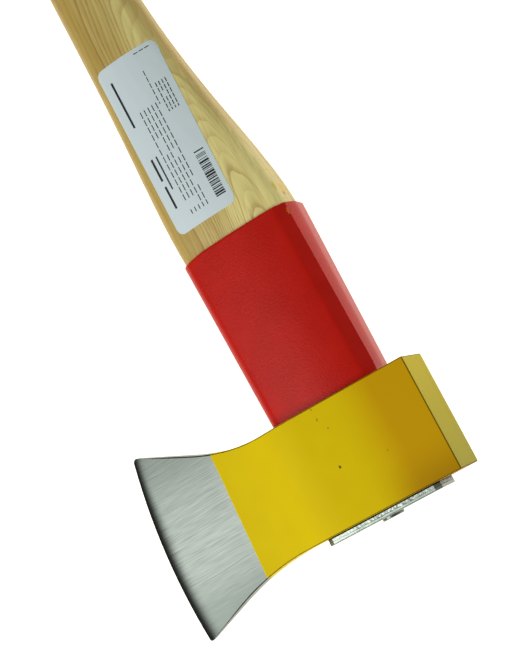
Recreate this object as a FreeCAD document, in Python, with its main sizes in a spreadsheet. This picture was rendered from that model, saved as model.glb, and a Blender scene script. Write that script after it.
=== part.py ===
import FreeCAD, Part
import math
import os
import Sketcher
from FreeCAD import Vector

# A two-handed splitting axe, lying on one cheek on a level surface.
#
# The pieces are drawn about the middle of the eye: X runs along the handle towards the
# crown of the head, Y from the cutting edge towards the poll, and Z across the thickness.
# Each piece is then laid down, so that the origin is under the middle of the axe's box and
# the lower cheek rests on Z = 0.  Millimetres throughout.

os.makedirs("parts", exist_ok=True)
doc = FreeCAD.newDocument("splitting_axe")
sheet = doc.addObject("Spreadsheet::Sheet", "Dim")

SIZES = (
    # Head
    ("head_height", 61.6, "underside to crown at the poll"),
    ("head_width", 38.2, "across the cheeks"),
    ("poll_reach", 49.1, "eye centre to poll face"),
    ("bit_reach", 117.9, "eye centre to the belly of the edge"),
    ("belly_x", 20.0, "height of the belly above the eye centre"),
    ("edge_radius", 330.0, "curve of the cutting edge"),
    ("crown_flare_start", 41.5, "eye centre to the start of the upper flare"),
    ("crown_flare_radius", 140.0, "hollow of the upper flare"),
    ("crown_flare_angle", 20.0, "degrees that the upper flare turns"),
    ("heel_flare_start", 35.0, "eye centre to the start of the lower flare"),
    ("heel_flare_radius", 103.0, "hollow of the lower flare"),
    ("heel_flare_angle", 24.5, "degrees that the lower flare turns"),
    ("heel_round", 2.5, "rounding of the heel"),
    ("toe_round", 1.5, "rounding of the toe"),
    ("cheek_end", 14.0, "eye centre to the end of the flat cheek"),
    ("cheek_shoulder_radius", 60.0, "shoulder where the cheek turns in"),
    ("cheek_shoulder_angle", 22.5, "degrees that the shoulder turns"),
    ("cheek_hollow_radius", 120.0, "hollow between shoulder and bit"),
    ("cheek_hollow_angle", 18.3, "degrees that the hollow turns back"),
    ("bevel_length", 7.0, "honed bevel along the edge"),
    ("bevel_radius", 30.0, "roundness of the honed bevel"),
    ("edge_land", 0.6, "thickness left at the cutting edge"),
    ("edge_break", 0.8, "broken corners of the poll and the faces"),
    ("eye_clearance", 0.05, "between the sleeve and the wall of the eye"),
    # Sleeve, an egg-shaped tube with a flat back that widens from the eye to its mouth
    ("sleeve_front", 32.0, "eye centre to the nose, in the eye"),
    ("sleeve_back", 33.9, "eye centre to the flat back, in the eye"),
    ("sleeve_half", 13.1, "half thickness at the back corners, in the eye"),
    ("sleeve_flank", 130.0, "flank radius, in the eye"),
    ("mouth_front", 34.4, "eye centre to the nose, at the mouth"),
    ("mouth_back", 33.8, "eye centre to the flat back, at the mouth"),
    ("mouth_half", 15.2, "half thickness at the back corners, at the mouth"),
    ("mouth_flank", 170.0, "flank radius, at the mouth"),
    ("sleeve_nose", 10.0, "nose radius"),
    ("sleeve_corner", 2.6, "back corner radius"),
    ("sleeve_wall", 1.2, "thickness of the steel"),
    ("sleeve_reach", 96.8, "length that shows below the head"),
    # Handle, with a tongue that fills the sleeve
    ("tongue_corner", 8.0, "back corner radius of the wood, measured outside the steel"),
    ("tongue_clearance", 0.05, "between the wood and the steel"),
    ("tongue_recess", 0.3, "end of the wood below the crown"),
    ("handle_below", 541.9, "sleeve mouth to the end of the knob"),
    ("end_round", 5.0, "rounding of the knob's end"),
    # Safety plate and its screw
    ("plate_front", 30.0, "eye centre to the plate's bit end"),
    ("plate_back", 35.0, "eye centre to the plate's poll end"),
    ("plate_width", 33.0, "across the plate"),
    ("plate_thick", 3.8, "thickness of the plate"),
    ("plate_corner", 3.2, "clipped corners"),
    ("screw_y", 2.2, "screw axis behind the eye centre"),
    ("screw_head_d", 12.0, "raised head"),
    ("screw_head_rise", 1.4, "head above the plate"),
    ("screw_head_edge", 0.5, "head's outer edge"),
    ("screw_cone_depth", 2.8, "countersunk part of the head"),
    ("screw_shank_d", 6.0, "plain shank"),
    ("screw_thread_d", 7.6, "outside of the thread"),
    ("screw_thread_depth", 1.1, "depth of the thread"),
    ("screw_pitch", 3.0, "thread pitch"),
    ("screw_crest", 0.5, "width of the thread's crest"),
    ("screw_plain", 14.0, "plain length under the plate"),
    ("screw_length", 62.0, "plate underside to tip"),
    ("screw_tip", 7.0, "pointed tip"),
    ("screw_key", 5.0, "hexagon key across flats"),
    ("screw_key_depth", 2.6, "depth of the key socket"),
    ("screw_clearance", 0.1, "between the screw and its holes"),
    # Label, a foil skin on the upper flank of the handle
    ("label_start", 12.7, "sleeve mouth to the label"),
    ("label_length", 96.8, "along the handle"),
    ("label_front", 25.7, "eye centre to its front edge"),
    ("label_back", 11.4, "eye centre to its back edge"),
    ("label_round", 4.0, "corner radius"),
    ("label_thick", 0.15, "thickness of the foil"),
    ("label_glue", 0.05, "adhesive between the foil and the wood"),
)

# Sections of the handle below the sleeve mouth: distance below the mouth, front edge, back
# edge, half thickness at the back corners, nose, back corner and flank radii.
STATIONS = (
    ("shoulder", 30.4, -33.6, 28.8, 12.8, 10.0, 6.0, 110.0),
    ("neck", 72.4, -32.3, 20.5, 11.6, 10.0, 7.2, 85.0),
    ("waist", 127.4, -31.5, 12.4, 10.8, 10.5, 8.5, 62.0),
    ("fore", 202.4, -31.0, 9.2, 10.5, 10.5, 9.2, 55.0),
    ("middle", 302.4, -25.5, 12.0, 10.4, 10.5, 9.6, 50.0),
    ("grip", 402.4, -15.0, 21.5, 10.4, 10.5, 9.8, 48.0),
    ("wrist", 477.4, -9.5, 28.0, 10.8, 10.8, 10.0, 48.0),
    ("knob", 522.4, -19.0, 34.0, 12.2, 12.0, 11.0, 70.0),
)
SHAPE = ("below", "front", "back", "half", "nose", "corner", "flank")

rows = list(SIZES)
for name, *numbers in STATIONS:
    rows += [(f"{name}_{word}", number, f"handle {word}") for word, number in zip(SHAPE, numbers)]
for row, (alias, number, meaning) in enumerate(rows, start=1):
    sheet.set(f"A{row}", alias)
    sheet.set(f"B{row}", str(number))
    sheet.set(f"C{row}", meaning)
    sheet.setAlias(f"B{row}", alias)
doc.recompute()


def measure(expression):
    """The present value of an expression over the sheet."""
    return float(sheet.evalExpression(expression.replace("Dim.", "")))


def new_body(name, x="0", y="0"):
    """A body whose own origin is at x, y from the middle of the eye, laid down with the axe."""
    body = doc.addObject("PartDesign::Body", name)
    body.Label = name
    body.setExpression("Placement.Base.x", f"{LAY_X} + {x}")
    body.setExpression("Placement.Base.y", f"{LAY_Y} + {y}")
    body.setExpression("Placement.Base.z", LAY_Z)
    return body


def origin_feature(body, role):
    return next(item for item in body.Origin.OriginFeatures if item.Role == role)


def new_sketch(body, name, role, offset="0"):
    """A sketch on one of the body's own planes, moved along the plane's normal by offset."""
    sketch = body.newObject("Sketcher::SketchObject", name)
    sketch.AttachmentSupport = [(origin_feature(body, role), "")]
    sketch.MapMode = "FlatFace"
    sketch.setExpression("AttachmentOffset.Base.z", offset)
    return sketch


def tie(sketch, kind, *where):
    """Adds a constraint whose last item is an expression, and keeps it bound to the sheet."""
    *place, expression = where
    index = sketch.addConstraint(Sketcher.Constraint(kind, *place, measure(expression)))
    sketch.setExpression(f"Constraints[{index}]", expression)


def arc_between(start, end, radius, turn):
    """The shorter arc from start to end, anticlockwise for turn 1 and clockwise for -1."""
    chord = end - start
    rise = math.sqrt(radius**2 - chord.Length**2 / 4)
    left = Vector(-chord.y, chord.x, 0).normalize()
    centre = (start + end) / 2 + left * rise * turn
    first, last = (start, end) if turn > 0 else (end, start)
    circle = Part.Circle(centre, Vector(0, 0, 1), radius)
    return Part.ArcOfCircle(circle, circle.parameter(first), circle.parameter(last))


def outline(sketch, corners):
    """A closed loop through corners (x, y), or (x, y, radius, turn) where an arc follows."""
    points = [Vector(measure(corner[0]), measure(corner[1]), 0) for corner in corners]
    edges = []
    for index, corner in enumerate(corners):
        start, end = points[index], points[(index + 1) % len(points)]
        if len(corner) == 2:
            edges.append((sketch.addGeometry(Part.LineSegment(start, end)), 1, 2))
            continue
        radius, turn = corner[2:]
        arc = sketch.addGeometry(arc_between(start, end, measure(radius), turn))
        edges.append((arc, 1, 2) if turn > 0 else (arc, 2, 1))
        tie(sketch, "Radius", arc, radius)
    for index, corner in enumerate(corners):
        edge, head, _ = edges[index]
        before, _, tail = edges[index - 1]
        sketch.addConstraint(Sketcher.Constraint("Coincident", before, tail, edge, head))
        tie(sketch, "DistanceX", edge, head, corner[0])
        tie(sketch, "DistanceY", edge, head, corner[1])


def egg(sketch, front, back, half, nose, corner, flank, grow="0"):
    """An egg with a flat back: nose arc, two bowed flanks and two corner arcs, all tangent.

    grow moves the whole outline outwards by the same amount.
    """
    nose_x, corner_x, corner_y = f"{front} + {nose}", f"{back} - {corner}", f"{half} - {corner}"
    nose_at = Vector(measure(nose_x), 0, 0)
    corner_at = Vector(measure(corner_x), measure(corner_y), 0)
    nose_r, corner_r = measure(f"{nose} + {grow}"), measure(f"{corner} + {grow}")
    to_nose, to_corner = measure(f"{flank} - {nose}"), measure(f"{flank} - {corner}")
    # The flank's centre lies at known distances from the centres of the nose and the corner.
    span = corner_at - nose_at
    along = (to_nose**2 - to_corner**2 + span.Length**2) / (2 * span.Length)
    down = math.sqrt(to_nose**2 - along**2)
    forward = Vector(span).normalize()
    flank_at = nose_at + forward * along + Vector(forward.y, -forward.x, 0) * down
    flank_r = measure(f"{flank} + {grow}")
    turn_corner = math.atan2(corner_at.y - flank_at.y, corner_at.x - flank_at.x)
    turn_nose = math.atan2(nose_at.y - flank_at.y, nose_at.x - flank_at.x)

    def arc(centre, radius, start, end):
        circle = Part.Circle(centre, Vector(0, 0, 1), radius)
        return sketch.addGeometry(Part.ArcOfCircle(circle, start, end))

    def below(point):
        return Vector(point.x, -point.y, 0)

    full = 2 * math.pi
    back_x = corner_at.x + corner_r
    back_line = sketch.addGeometry(
        Part.LineSegment(Vector(back_x, -corner_at.y, 0), Vector(back_x, corner_at.y, 0))
    )
    upper_corner = arc(corner_at, corner_r, 0, turn_corner)
    upper_flank = arc(flank_at, flank_r, turn_corner, turn_nose)
    nose_arc = arc(nose_at, nose_r, turn_nose, full - turn_nose)
    lower_flank = arc(below(flank_at), flank_r, full - turn_nose, full - turn_corner)
    lower_corner = arc(below(corner_at), corner_r, full - turn_corner, full)
    loop = (back_line, upper_corner, upper_flank, nose_arc, lower_flank, lower_corner)
    for index, edge in enumerate(loop):
        sketch.addConstraint(Sketcher.Constraint("Tangent", loop[index - 1], 2, edge, 1))
    sketch.addConstraint(Sketcher.Constraint("PointOnObject", nose_arc, 3, -1))
    sketch.addConstraint(
        Sketcher.Constraint("Symmetric", upper_corner, 3, lower_corner, 3, -1)
    )
    sketch.addConstraint(Sketcher.Constraint("Equal", upper_corner, lower_corner))
    sketch.addConstraint(Sketcher.Constraint("Equal", upper_flank, lower_flank))
    tie(sketch, "DistanceX", nose_arc, 3, nose_x)
    tie(sketch, "DistanceX", upper_corner, 3, corner_x)
    tie(sketch, "DistanceY", upper_corner, 3, corner_y)
    tie(sketch, "Radius", nose_arc, f"{nose} + {grow}")
    tie(sketch, "Radius", upper_corner, f"{corner} + {grow}")
    tie(sketch, "Radius", upper_flank, f"{flank} + {grow}")


# How far a cutting outline passes the faces that it cuts.
BEYOND = "5"


def end_egg(end, corner, flank):
    """The egg at one end of the sleeve: front, back, half, nose, corner and flank."""
    return f"-Dim.{end}_front", f"Dim.{end}_back", f"Dim.{end}_half", "Dim.sleeve_nose", corner, flank


SLEEVE_EYE = end_egg("sleeve", "Dim.sleeve_corner", "Dim.sleeve_flank")
SLEEVE_MOUTH = end_egg("mouth", "Dim.sleeve_corner", "Dim.mouth_flank")
TONGUE_EYE = end_egg("sleeve", "Dim.tongue_corner", "Dim.sleeve_flank")
TONGUE_MOUTH = end_egg("mouth", "Dim.tongue_corner", "Dim.mouth_flank")
BORE = "-Dim.sleeve_wall"
WOOD = "-Dim.sleeve_wall - Dim.tongue_clearance"
CROWN = "Dim.head_height / 2"
MOUTH = "-(Dim.head_height / 2 + Dim.sleeve_reach)"

# The upper flare runs straight on from its hollow to the edge, and so does the lower one.
CROWN_BEND_X = f"({CROWN} + Dim.crown_flare_radius * (1 - cos(Dim.crown_flare_angle)))"
CROWN_BEND_Y = "(-Dim.crown_flare_start - Dim.crown_flare_radius * sin(Dim.crown_flare_angle))"
HEEL_BEND_X = f"(-{CROWN} - Dim.heel_flare_radius * (1 - cos(Dim.heel_flare_angle)))"
HEEL_BEND_Y = "(-Dim.heel_flare_start - Dim.heel_flare_radius * sin(Dim.heel_flare_angle))"
EDGE_CENTRE_Y = "(Dim.edge_radius - Dim.bit_reach)"


def flare_end(bend_x, bend_y, angle, side, inset="0"):
    """Where a straight flare meets the cutting edge, both moved into the steel by inset."""
    start_x = f"({bend_x} - {side} * {inset} * cos({angle}))"
    start_y = f"({bend_y} - {inset} * sin({angle}))"
    gap_x, gap_y = f"({start_x} - Dim.belly_x)", f"({start_y} - {EDGE_CENTRE_Y})"
    lean = f"({side} * {gap_x} * sin({angle}) - {gap_y} * cos({angle}))"
    inside = f"({gap_x} ^ 2 + {gap_y} ^ 2 - (Dim.edge_radius - {inset}) ^ 2)"
    run = f"(sqrt({lean} ^ 2 - {inside}) - {lean})"
    return f"({start_x} + {side} * {run} * sin({angle}))", f"({start_y} - {run} * cos({angle}))"


CROWN_FLARE = (CROWN_BEND_X, CROWN_BEND_Y, "Dim.crown_flare_angle", "1")
HEEL_FLARE = (HEEL_BEND_X, HEEL_BEND_Y, "Dim.heel_flare_angle", "-1")
TOE_X, TOE_Y = flare_end(*CROWN_FLARE)
HEEL_X, HEEL_Y = flare_end(*HEEL_FLARE)

# The axe's box runs from the end of the knob to the rounded toe, and from edge to poll.
AXE_TOP = f"({flare_end(*CROWN_FLARE, inset='Dim.toe_round')[0]} + Dim.toe_round)"
AXE_END = f"({MOUTH} - Dim.handle_below)"
LAY_X = f"-({AXE_TOP} + {AXE_END}) / 2"
LAY_Y = "(Dim.bit_reach - Dim.poll_reach) / 2"
LAY_Z = "Dim.head_width / 2"


def add_pad(body, name, sketch, length, midplane=False, back=False):
    pad = body.newObject("PartDesign::Pad", name)
    pad.Profile = sketch
    pad.Midplane = midplane
    pad.Reversed = back
    pad.setExpression("Length", length)
    doc.recompute()
    return pad


def add_cut(body, name, sketch, midplane=True):
    """A pocket right through the body, both ways from the sketch unless midplane is off."""
    before = body.Shape.Volume
    cut = body.newObject("PartDesign::Pocket", name)
    cut.Profile = sketch
    cut.Type = "ThroughAll"
    cut.Midplane = midplane
    doc.recompute()
    must_shrink(name, body, before)
    return cut


def add_groove(body, name, sketch, axis):
    before = body.Shape.Volume
    groove = body.newObject("PartDesign::Groove", name)
    groove.Profile = sketch
    groove.ReferenceAxis = axis
    groove.Angle = 360
    doc.recompute()
    must_shrink(name, body, before)
    return groove


def must_shrink(name, body, before):
    if not body.Shape.Volume < before:
        raise RuntimeError(f"{name} cuts nothing")


def add_mirror(body, name, features):
    mirror = body.newObject("PartDesign::Mirrored", name)
    mirror.Originals = features
    mirror.MirrorPlane = (origin_feature(body, "XY_Plane"), [""])
    body.Tip = mirror
    doc.recompute()
    return mirror


# Points closer together than this are one corner.
NEAR = 0.01


def dress(body, kind, name, size, chosen):
    """A fillet or chamfer on the edges of the body's tip for which chosen(edge) is true."""
    base = body.Tip
    names = [f"Edge{n}" for n, edge in enumerate(base.Shape.Edges, start=1) if chosen(edge)]
    if not names:
        raise RuntimeError(f"{name} finds no edge")
    feature = body.newObject(f"PartDesign::{kind}", name)
    feature.Base = (base, names)
    feature.setExpression("Radius" if kind == "Fillet" else "Size", size)
    doc.recompute()
    return feature


def ends(edge):
    return [vertex.Point for vertex in edge.Vertexes]


def head():
    """Forged head: a block with a flared bit, cheeks that turn in, a honed edge and an eye."""
    body = new_body("axe_head")
    side = new_sketch(body, "head_side", "XY_Plane")
    outline(side, [
        (f"-{CROWN}", "Dim.poll_reach"),
        (f"-{CROWN}", "-Dim.heel_flare_start", "Dim.heel_flare_radius", -1),
        (HEEL_BEND_X, HEEL_BEND_Y),
        (HEEL_X, HEEL_Y, "Dim.edge_radius", 1),
        (TOE_X, TOE_Y),
        (CROWN_BEND_X, CROWN_BEND_Y, "Dim.crown_flare_radius", -1),
        (CROWN, "-Dim.crown_flare_start"),
        (CROWN, "Dim.poll_reach"),
    ])
    add_pad(body, "head_block", side, "Dim.head_width", midplane=True)
    corners = {"heel": (HEEL_X, HEEL_Y), "toe": (TOE_X, TOE_Y)}
    for corner, (x, y) in corners.items():
        spot = Vector(measure(x), measure(y), 0)
        dress(
            body, "Fillet", f"{corner}_rounding", f"Dim.{corner}_round",
            lambda edge: all(math.hypot(p.x - spot.x, p.y - spot.y) < NEAR for p in ends(edge)),
        )

    # Seen from the crown, a cheek is flat, turns in over a shoulder, hollows out and then
    # runs straight down the bit.
    turn, rest = "Dim.cheek_shoulder_angle", "(Dim.cheek_shoulder_angle - Dim.cheek_hollow_angle)"
    bend_y = f"(-Dim.cheek_end - Dim.cheek_shoulder_radius * sin({turn}))"
    bend_z = f"(Dim.head_width / 2 - Dim.cheek_shoulder_radius * (1 - cos({turn})))"
    bit_y = f"({bend_y} - Dim.cheek_hollow_radius * (sin({turn}) - sin({rest})))"
    bit_z = f"({bend_z} - Dim.cheek_hollow_radius * (cos({rest}) - cos({turn})))"

    def face_z(y):
        return f"({bit_z} + ({y} - {bit_y}) * tan({rest}))"

    outside_y, outside_z = f"(-Dim.bit_reach - {BEYOND})", f"(Dim.head_width / 2 + {BEYOND})"
    cheek = new_sketch(body, "cheek_profile", "YZ_Plane")
    outline(cheek, [
        ("-Dim.cheek_end", "Dim.head_width / 2", "Dim.cheek_shoulder_radius", 1),
        (bend_y, bend_z, "Dim.cheek_hollow_radius", -1),
        (bit_y, bit_z),
        (outside_y, face_z(outside_y)),
        (outside_y, outside_z),
        ("-Dim.cheek_end", outside_z),
    ])
    upper_cheek = add_cut(body, "upper_cheek", cheek)
    add_mirror(body, "lower_cheek", [upper_cheek])

    poll_y = measure("Dim.poll_reach")

    def outer(edge):
        """An edge of the outline or an upright corner of the poll, not a seam across a cheek."""
        start, end = ends(edge)
        if start.z * end.z < 0:
            return start.y > poll_y - NEAR
        return start.y > poll_y - NEAR or abs(start.y - end.y) > NEAR

    dress(body, "Fillet", "broken_edges", "Dim.edge_break", outer)

    # The honed bevel is turned about the centre of the cutting edge's curve.
    start_y = "(Dim.bevel_length - Dim.bit_reach)"
    start_z = face_z(start_y)
    drop = f"({start_z} - Dim.edge_land / 2)"
    chord = f"sqrt(Dim.bevel_length ^ 2 + {drop} ^ 2)"
    lean = f"(atan({drop} / Dim.bevel_length) - asin({chord} / 2 / Dim.bevel_radius))"
    bevel = new_sketch(body, "bevel_profile", "YZ_Plane", "Dim.belly_x")
    outline(bevel, [
        (start_y, start_z, "Dim.bevel_radius", 1),
        ("-Dim.bit_reach", "Dim.edge_land / 2"),
        (outside_y, "Dim.edge_land / 2"),
        (outside_y, outside_z),
        (f"{start_y} + 2 * Dim.bevel_length", outside_z),
        (f"{start_y} + 2 * Dim.bevel_length", f"{start_z} + 2 * Dim.bevel_length * tan({lean})"),
    ])
    centre = Vector(measure(EDGE_CENTRE_Y), 0, 0)
    above = centre + Vector(0, measure("Dim.bevel_length"), 0)
    axis = bevel.addGeometry(Part.LineSegment(centre, above), True)
    bevel.addConstraint(Sketcher.Constraint("Vertical", axis))
    bevel.addConstraint(Sketcher.Constraint("PointOnObject", axis, 1, -1))
    tie(bevel, "DistanceX", axis, 1, EDGE_CENTRE_Y)
    tie(bevel, "DistanceY", axis, 2, "Dim.bevel_length")
    upper_bevel = add_groove(body, "upper_bevel", bevel, (bevel, ["Axis0"]))
    add_mirror(body, "lower_bevel", [upper_bevel])

    eye = new_sketch(body, "eye_outline", "YZ_Plane")
    egg(eye, *SLEEVE_EYE, grow="Dim.eye_clearance")
    add_cut(body, "eye", eye)
    return body


def taper(body, kind, name, mouth, eye, grow="0"):
    """A loft from the mouth, at the body's origin, up to the head. Returns the sketch there."""
    first = new_sketch(body, f"{name}_mouth", "YZ_Plane")
    egg(first, *mouth, grow=grow)
    last = new_sketch(body, f"{name}_eye", "YZ_Plane", "Dim.sleeve_reach")
    egg(last, *eye, grow=grow)
    loft = body.newObject(f"PartDesign::{kind}Loft", f"{name}_taper")
    loft.Profile = first
    loft.Sections = [last]
    doc.recompute()
    return last


def add_hole(body, name, sketch, length, forward=False):
    """A pocket of a given length, against the sketch's normal unless forward is on."""
    before = body.Shape.Volume
    hole = body.newObject("PartDesign::Pocket", name)
    hole.Profile = sketch
    hole.Reversed = forward
    hole.setExpression("Length", length)
    doc.recompute()
    must_shrink(name, body, before)
    return hole


def sleeve():
    """Steel tube through the eye that guards the neck of the handle."""
    body = new_body("steel_sleeve", MOUTH)
    outside = taper(body, "Additive", "outside", SLEEVE_MOUTH, SLEEVE_EYE)
    add_pad(body, "sleeve_in_eye", outside, "Dim.head_height")
    inside = taper(body, "Subtractive", "bore", SLEEVE_MOUTH, SLEEVE_EYE, BORE)
    add_hole(body, "bore_in_eye", inside, f"Dim.head_height + {BEYOND}", forward=True)
    return body


def station_egg(body, name, offset, grow):
    """The handle's section at one station, in a sketch of the given body."""
    shape = [f"Dim.{name}_{word}" for word in SHAPE[1:]]
    sketch = new_sketch(body, f"{body.Name}_{name}", "YZ_Plane", offset)
    egg(sketch, *shape, grow=grow)
    return sketch


def carved_loft(body, kind, name, grow="0"):
    """The handle's outer shape below the mouth, grown by the same amount all round."""
    mouth = new_sketch(body, f"{name}_mouth", "YZ_Plane")
    egg(mouth, *TONGUE_MOUTH, grow=f"{grow} + {WOOD}")
    sections = [
        station_egg(body, station[0], f"-Dim.{station[0]}_below", grow) for station in STATIONS
    ]
    end = new_sketch(body, f"{name}_end", "YZ_Plane", "-Dim.handle_below")
    egg(end, *[f"Dim.{STATIONS[-1][0]}_{word}" for word in SHAPE[1:]], grow=grow)
    loft = body.newObject(f"PartDesign::{kind}Loft", name)
    loft.Profile = mouth
    loft.Sections = sections + [end]
    doc.recompute()
    return loft


def handle():
    """Ash handle, carved in one piece, with a thinner tongue that fills the sleeve."""
    body = new_body("handle", MOUTH)
    carved_loft(body, "Additive", "handle_carving")
    end_x = measure("-Dim.handle_below")
    dress(
        body, "Fillet", "knob_rounding", "Dim.end_round",
        lambda edge: all(abs(point.x - end_x) < NEAR for point in ends(edge)),
    )
    tongue = taper(body, "Additive", "tongue", TONGUE_MOUTH, TONGUE_EYE, WOOD)
    add_pad(body, "tongue_in_eye", tongue, "Dim.head_height - Dim.tongue_recess")

    # The screw's thread is cut into the wood, so its hole is as wide as the thread.
    wood_end = "Dim.sleeve_reach + Dim.head_height - Dim.tongue_recess"
    pilot = new_sketch(body, "pilot_outline", "YZ_Plane", wood_end)
    pilot_r = "Dim.screw_thread_d / 2 + Dim.screw_clearance"
    ring = pilot.addGeometry(
        Part.Circle(Vector(measure("Dim.screw_y"), 0, 0), Vector(0, 0, 1), measure(pilot_r))
    )
    pilot.addConstraint(Sketcher.Constraint("PointOnObject", ring, 3, -1))
    tie(pilot, "DistanceX", ring, 3, "Dim.screw_y")
    tie(pilot, "Radius", ring, pilot_r)
    add_hole(
        body, "pilot_hole", pilot, "Dim.screw_length - Dim.tongue_recess + Dim.screw_clearance"
    )
    return body


def turned(body, name, profile):
    """A solid turned about the body's own X axis from a half profile in X and Y."""
    sketch = new_sketch(body, f"{name}_profile", "XY_Plane")
    outline(sketch, profile)
    turning = body.newObject("PartDesign::Revolution", name)
    turning.Profile = sketch
    turning.ReferenceAxis = (origin_feature(body, "X_Axis"), [""])
    turning.Angle = 360
    doc.recompute()
    return turning


def safety_plate():
    """Zinc-plated plate with clipped corners that closes the eye and holds the head on."""
    body = new_body("safety_plate", CROWN)
    front, back = "-Dim.plate_front", "Dim.plate_back"
    half = "Dim.plate_width / 2"
    clipped = "(Dim.plate_width / 2 - Dim.plate_corner)"
    shape = new_sketch(body, "plate_outline", "YZ_Plane")
    outline(shape, [
        (f"{front} + Dim.plate_corner", f"-{half}"),
        (f"{back} - Dim.plate_corner", f"-{half}"),
        (back, f"-{clipped}"),
        (back, clipped),
        (f"{back} - Dim.plate_corner", half),
        (f"{front} + Dim.plate_corner", half),
        (front, clipped),
        (front, f"-{clipped}"),
    ])
    add_pad(body, "plate_blank", shape, "Dim.plate_thick")

    # The hole is the screw's own cone and shank, a clearance wider.
    cone_r = "(Dim.screw_head_d / 2 - Dim.screw_head_edge + Dim.screw_clearance)"
    shank_r = "(Dim.screw_shank_d / 2 + Dim.screw_clearance)"
    cone_x = "(Dim.plate_thick - Dim.screw_cone_depth)"
    bore = new_sketch(body, "plate_hole_profile", "XY_Plane")
    outline(bore, [
        (f"-{BEYOND}", "Dim.screw_y"),
        (f"-{BEYOND}", f"Dim.screw_y + {shank_r}"),
        (cone_x, f"Dim.screw_y + {shank_r}"),
        ("Dim.plate_thick", f"Dim.screw_y + {cone_r}"),
        (f"Dim.plate_thick + {BEYOND}", f"Dim.screw_y + {cone_r}"),
        (f"Dim.plate_thick + {BEYOND}", "Dim.screw_y"),
    ])
    under = Vector(0, measure("Dim.screw_y"), 0)
    above = under + Vector(measure("Dim.plate_thick"), 0, 0)
    axis = bore.addGeometry(Part.LineSegment(under, above), True)
    bore.addConstraint(Sketcher.Constraint("Horizontal", axis))
    bore.addConstraint(Sketcher.Constraint("PointOnObject", axis, 1, -2))
    tie(bore, "DistanceY", axis, 1, "Dim.screw_y")
    tie(bore, "DistanceX", axis, 2, "Dim.plate_thick")
    add_groove(body, "plate_hole", bore, (bore, ["Axis0"]))
    return body


def safety_screw():
    """Coarse wood screw that holds the plate to the end of the handle."""
    body = new_body("safety_screw", CROWN, "Dim.screw_y")
    head_top = "(Dim.plate_thick + Dim.screw_head_rise)"
    cone_x = "(Dim.plate_thick - Dim.screw_cone_depth)"
    head_r, edge = "(Dim.screw_head_d / 2)", "Dim.screw_head_edge"
    shank_r, thread_r = "(Dim.screw_shank_d / 2)", "(Dim.screw_thread_d / 2)"
    turned(body, "screw_blank", [
        ("-Dim.screw_length", "0"),
        ("-Dim.screw_length + Dim.screw_tip", thread_r),
        ("-Dim.screw_plain", thread_r),
        ("-Dim.screw_plain", shank_r),
        (cone_x, shank_r),
        ("Dim.plate_thick", f"{head_r} - {edge}"),
        ("Dim.plate_thick", head_r),
        (f"{head_top} - {edge}", head_r),
        (head_top, f"{head_r} - {edge}"),
        (head_top, "0"),
    ])

    # The thread is drawn as rings of its own pitch and depth.
    root = new_sketch(body, "thread_root", "XY_Plane")
    start = "-Dim.screw_plain - Dim.screw_pitch / 2"
    half_gap = "(Dim.screw_pitch - Dim.screw_crest) / 2"
    outline(root, [
        (f"{start} - {half_gap}", thread_r),
        (start, f"{thread_r} - Dim.screw_thread_depth"),
        (f"{start} + {half_gap}", thread_r),
        (f"{start} + {half_gap}", f"{thread_r} + {BEYOND}"),
        (f"{start} - {half_gap}", f"{thread_r} + {BEYOND}"),
    ])
    ring = add_groove(body, "thread_ring", root, (origin_feature(body, "X_Axis"), [""]))
    thread = body.newObject("PartDesign::LinearPattern", "thread")
    thread.Originals = [ring]
    thread.Direction = (origin_feature(body, "X_Axis"), [""])
    thread.Reversed = True
    run = "(Dim.screw_length - Dim.screw_plain - Dim.screw_tip)"
    turns = f"floor({run} / Dim.screw_pitch)"
    thread.setExpression("Occurrences", turns)
    thread.setExpression("Length", f"({turns} - 1) * Dim.screw_pitch")
    body.Tip = thread
    doc.recompute()

    # Hexagon socket for the key, with its corners on a circle round the axis.
    socket = new_sketch(body, "key_outline", "YZ_Plane", head_top)
    corner_r = "(Dim.screw_key / sqrt(3))"
    outline(socket, [
        (f"{corner_r} * cos({60 * n})", f"{corner_r} * sin({60 * n})") for n in range(6)
    ])
    add_hole(body, "key_socket", socket, "Dim.screw_key_depth")
    return body


def label():
    """Foil label on the upper flank of the handle, a thin skin that follows the wood."""
    body = new_body("label", MOUTH)
    carved_loft(body, "Additive", "label_outside", "Dim.label_glue + Dim.label_thick")
    carved_loft(body, "Subtractive", "label_inside", "Dim.label_glue")
    shape = new_sketch(body, "label_outline", "XY_Plane")
    low_x, high_x = "(-Dim.label_start - Dim.label_length)", "-Dim.label_start"
    low_y, high_y, bend = "-Dim.label_front", "Dim.label_back", "Dim.label_round"
    outline(shape, [
        (f"{low_x} + {bend}", low_y),
        (f"{high_x} - {bend}", low_y, bend, 1),
        (high_x, f"{low_y} + {bend}"),
        (high_x, f"{high_y} - {bend}", bend, 1),
        (f"{high_x} - {bend}", high_y),
        (f"{low_x} + {bend}", high_y, bend, 1),
        (low_x, f"{high_y} - {bend}"),
        (low_x, f"{low_y} + {bend}", bend, 1),
    ])
    end, far_y = f"-Dim.handle_below - {BEYOND}", "Dim.handle_below"
    whole = [(end, f"-{far_y}"), (BEYOND, f"-{far_y}"), (BEYOND, far_y), (end, far_y)]
    outline(shape, whole)
    add_cut(body, "label_trim", shape)
    lower_half = new_sketch(body, "lower_half", "XY_Plane")
    outline(lower_half, whole)
    add_cut(body, "label_side", lower_half, midplane=False)
    return body


PIECES = (head(), sleeve(), handle(), safety_plate(), safety_screw(), label())

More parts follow.
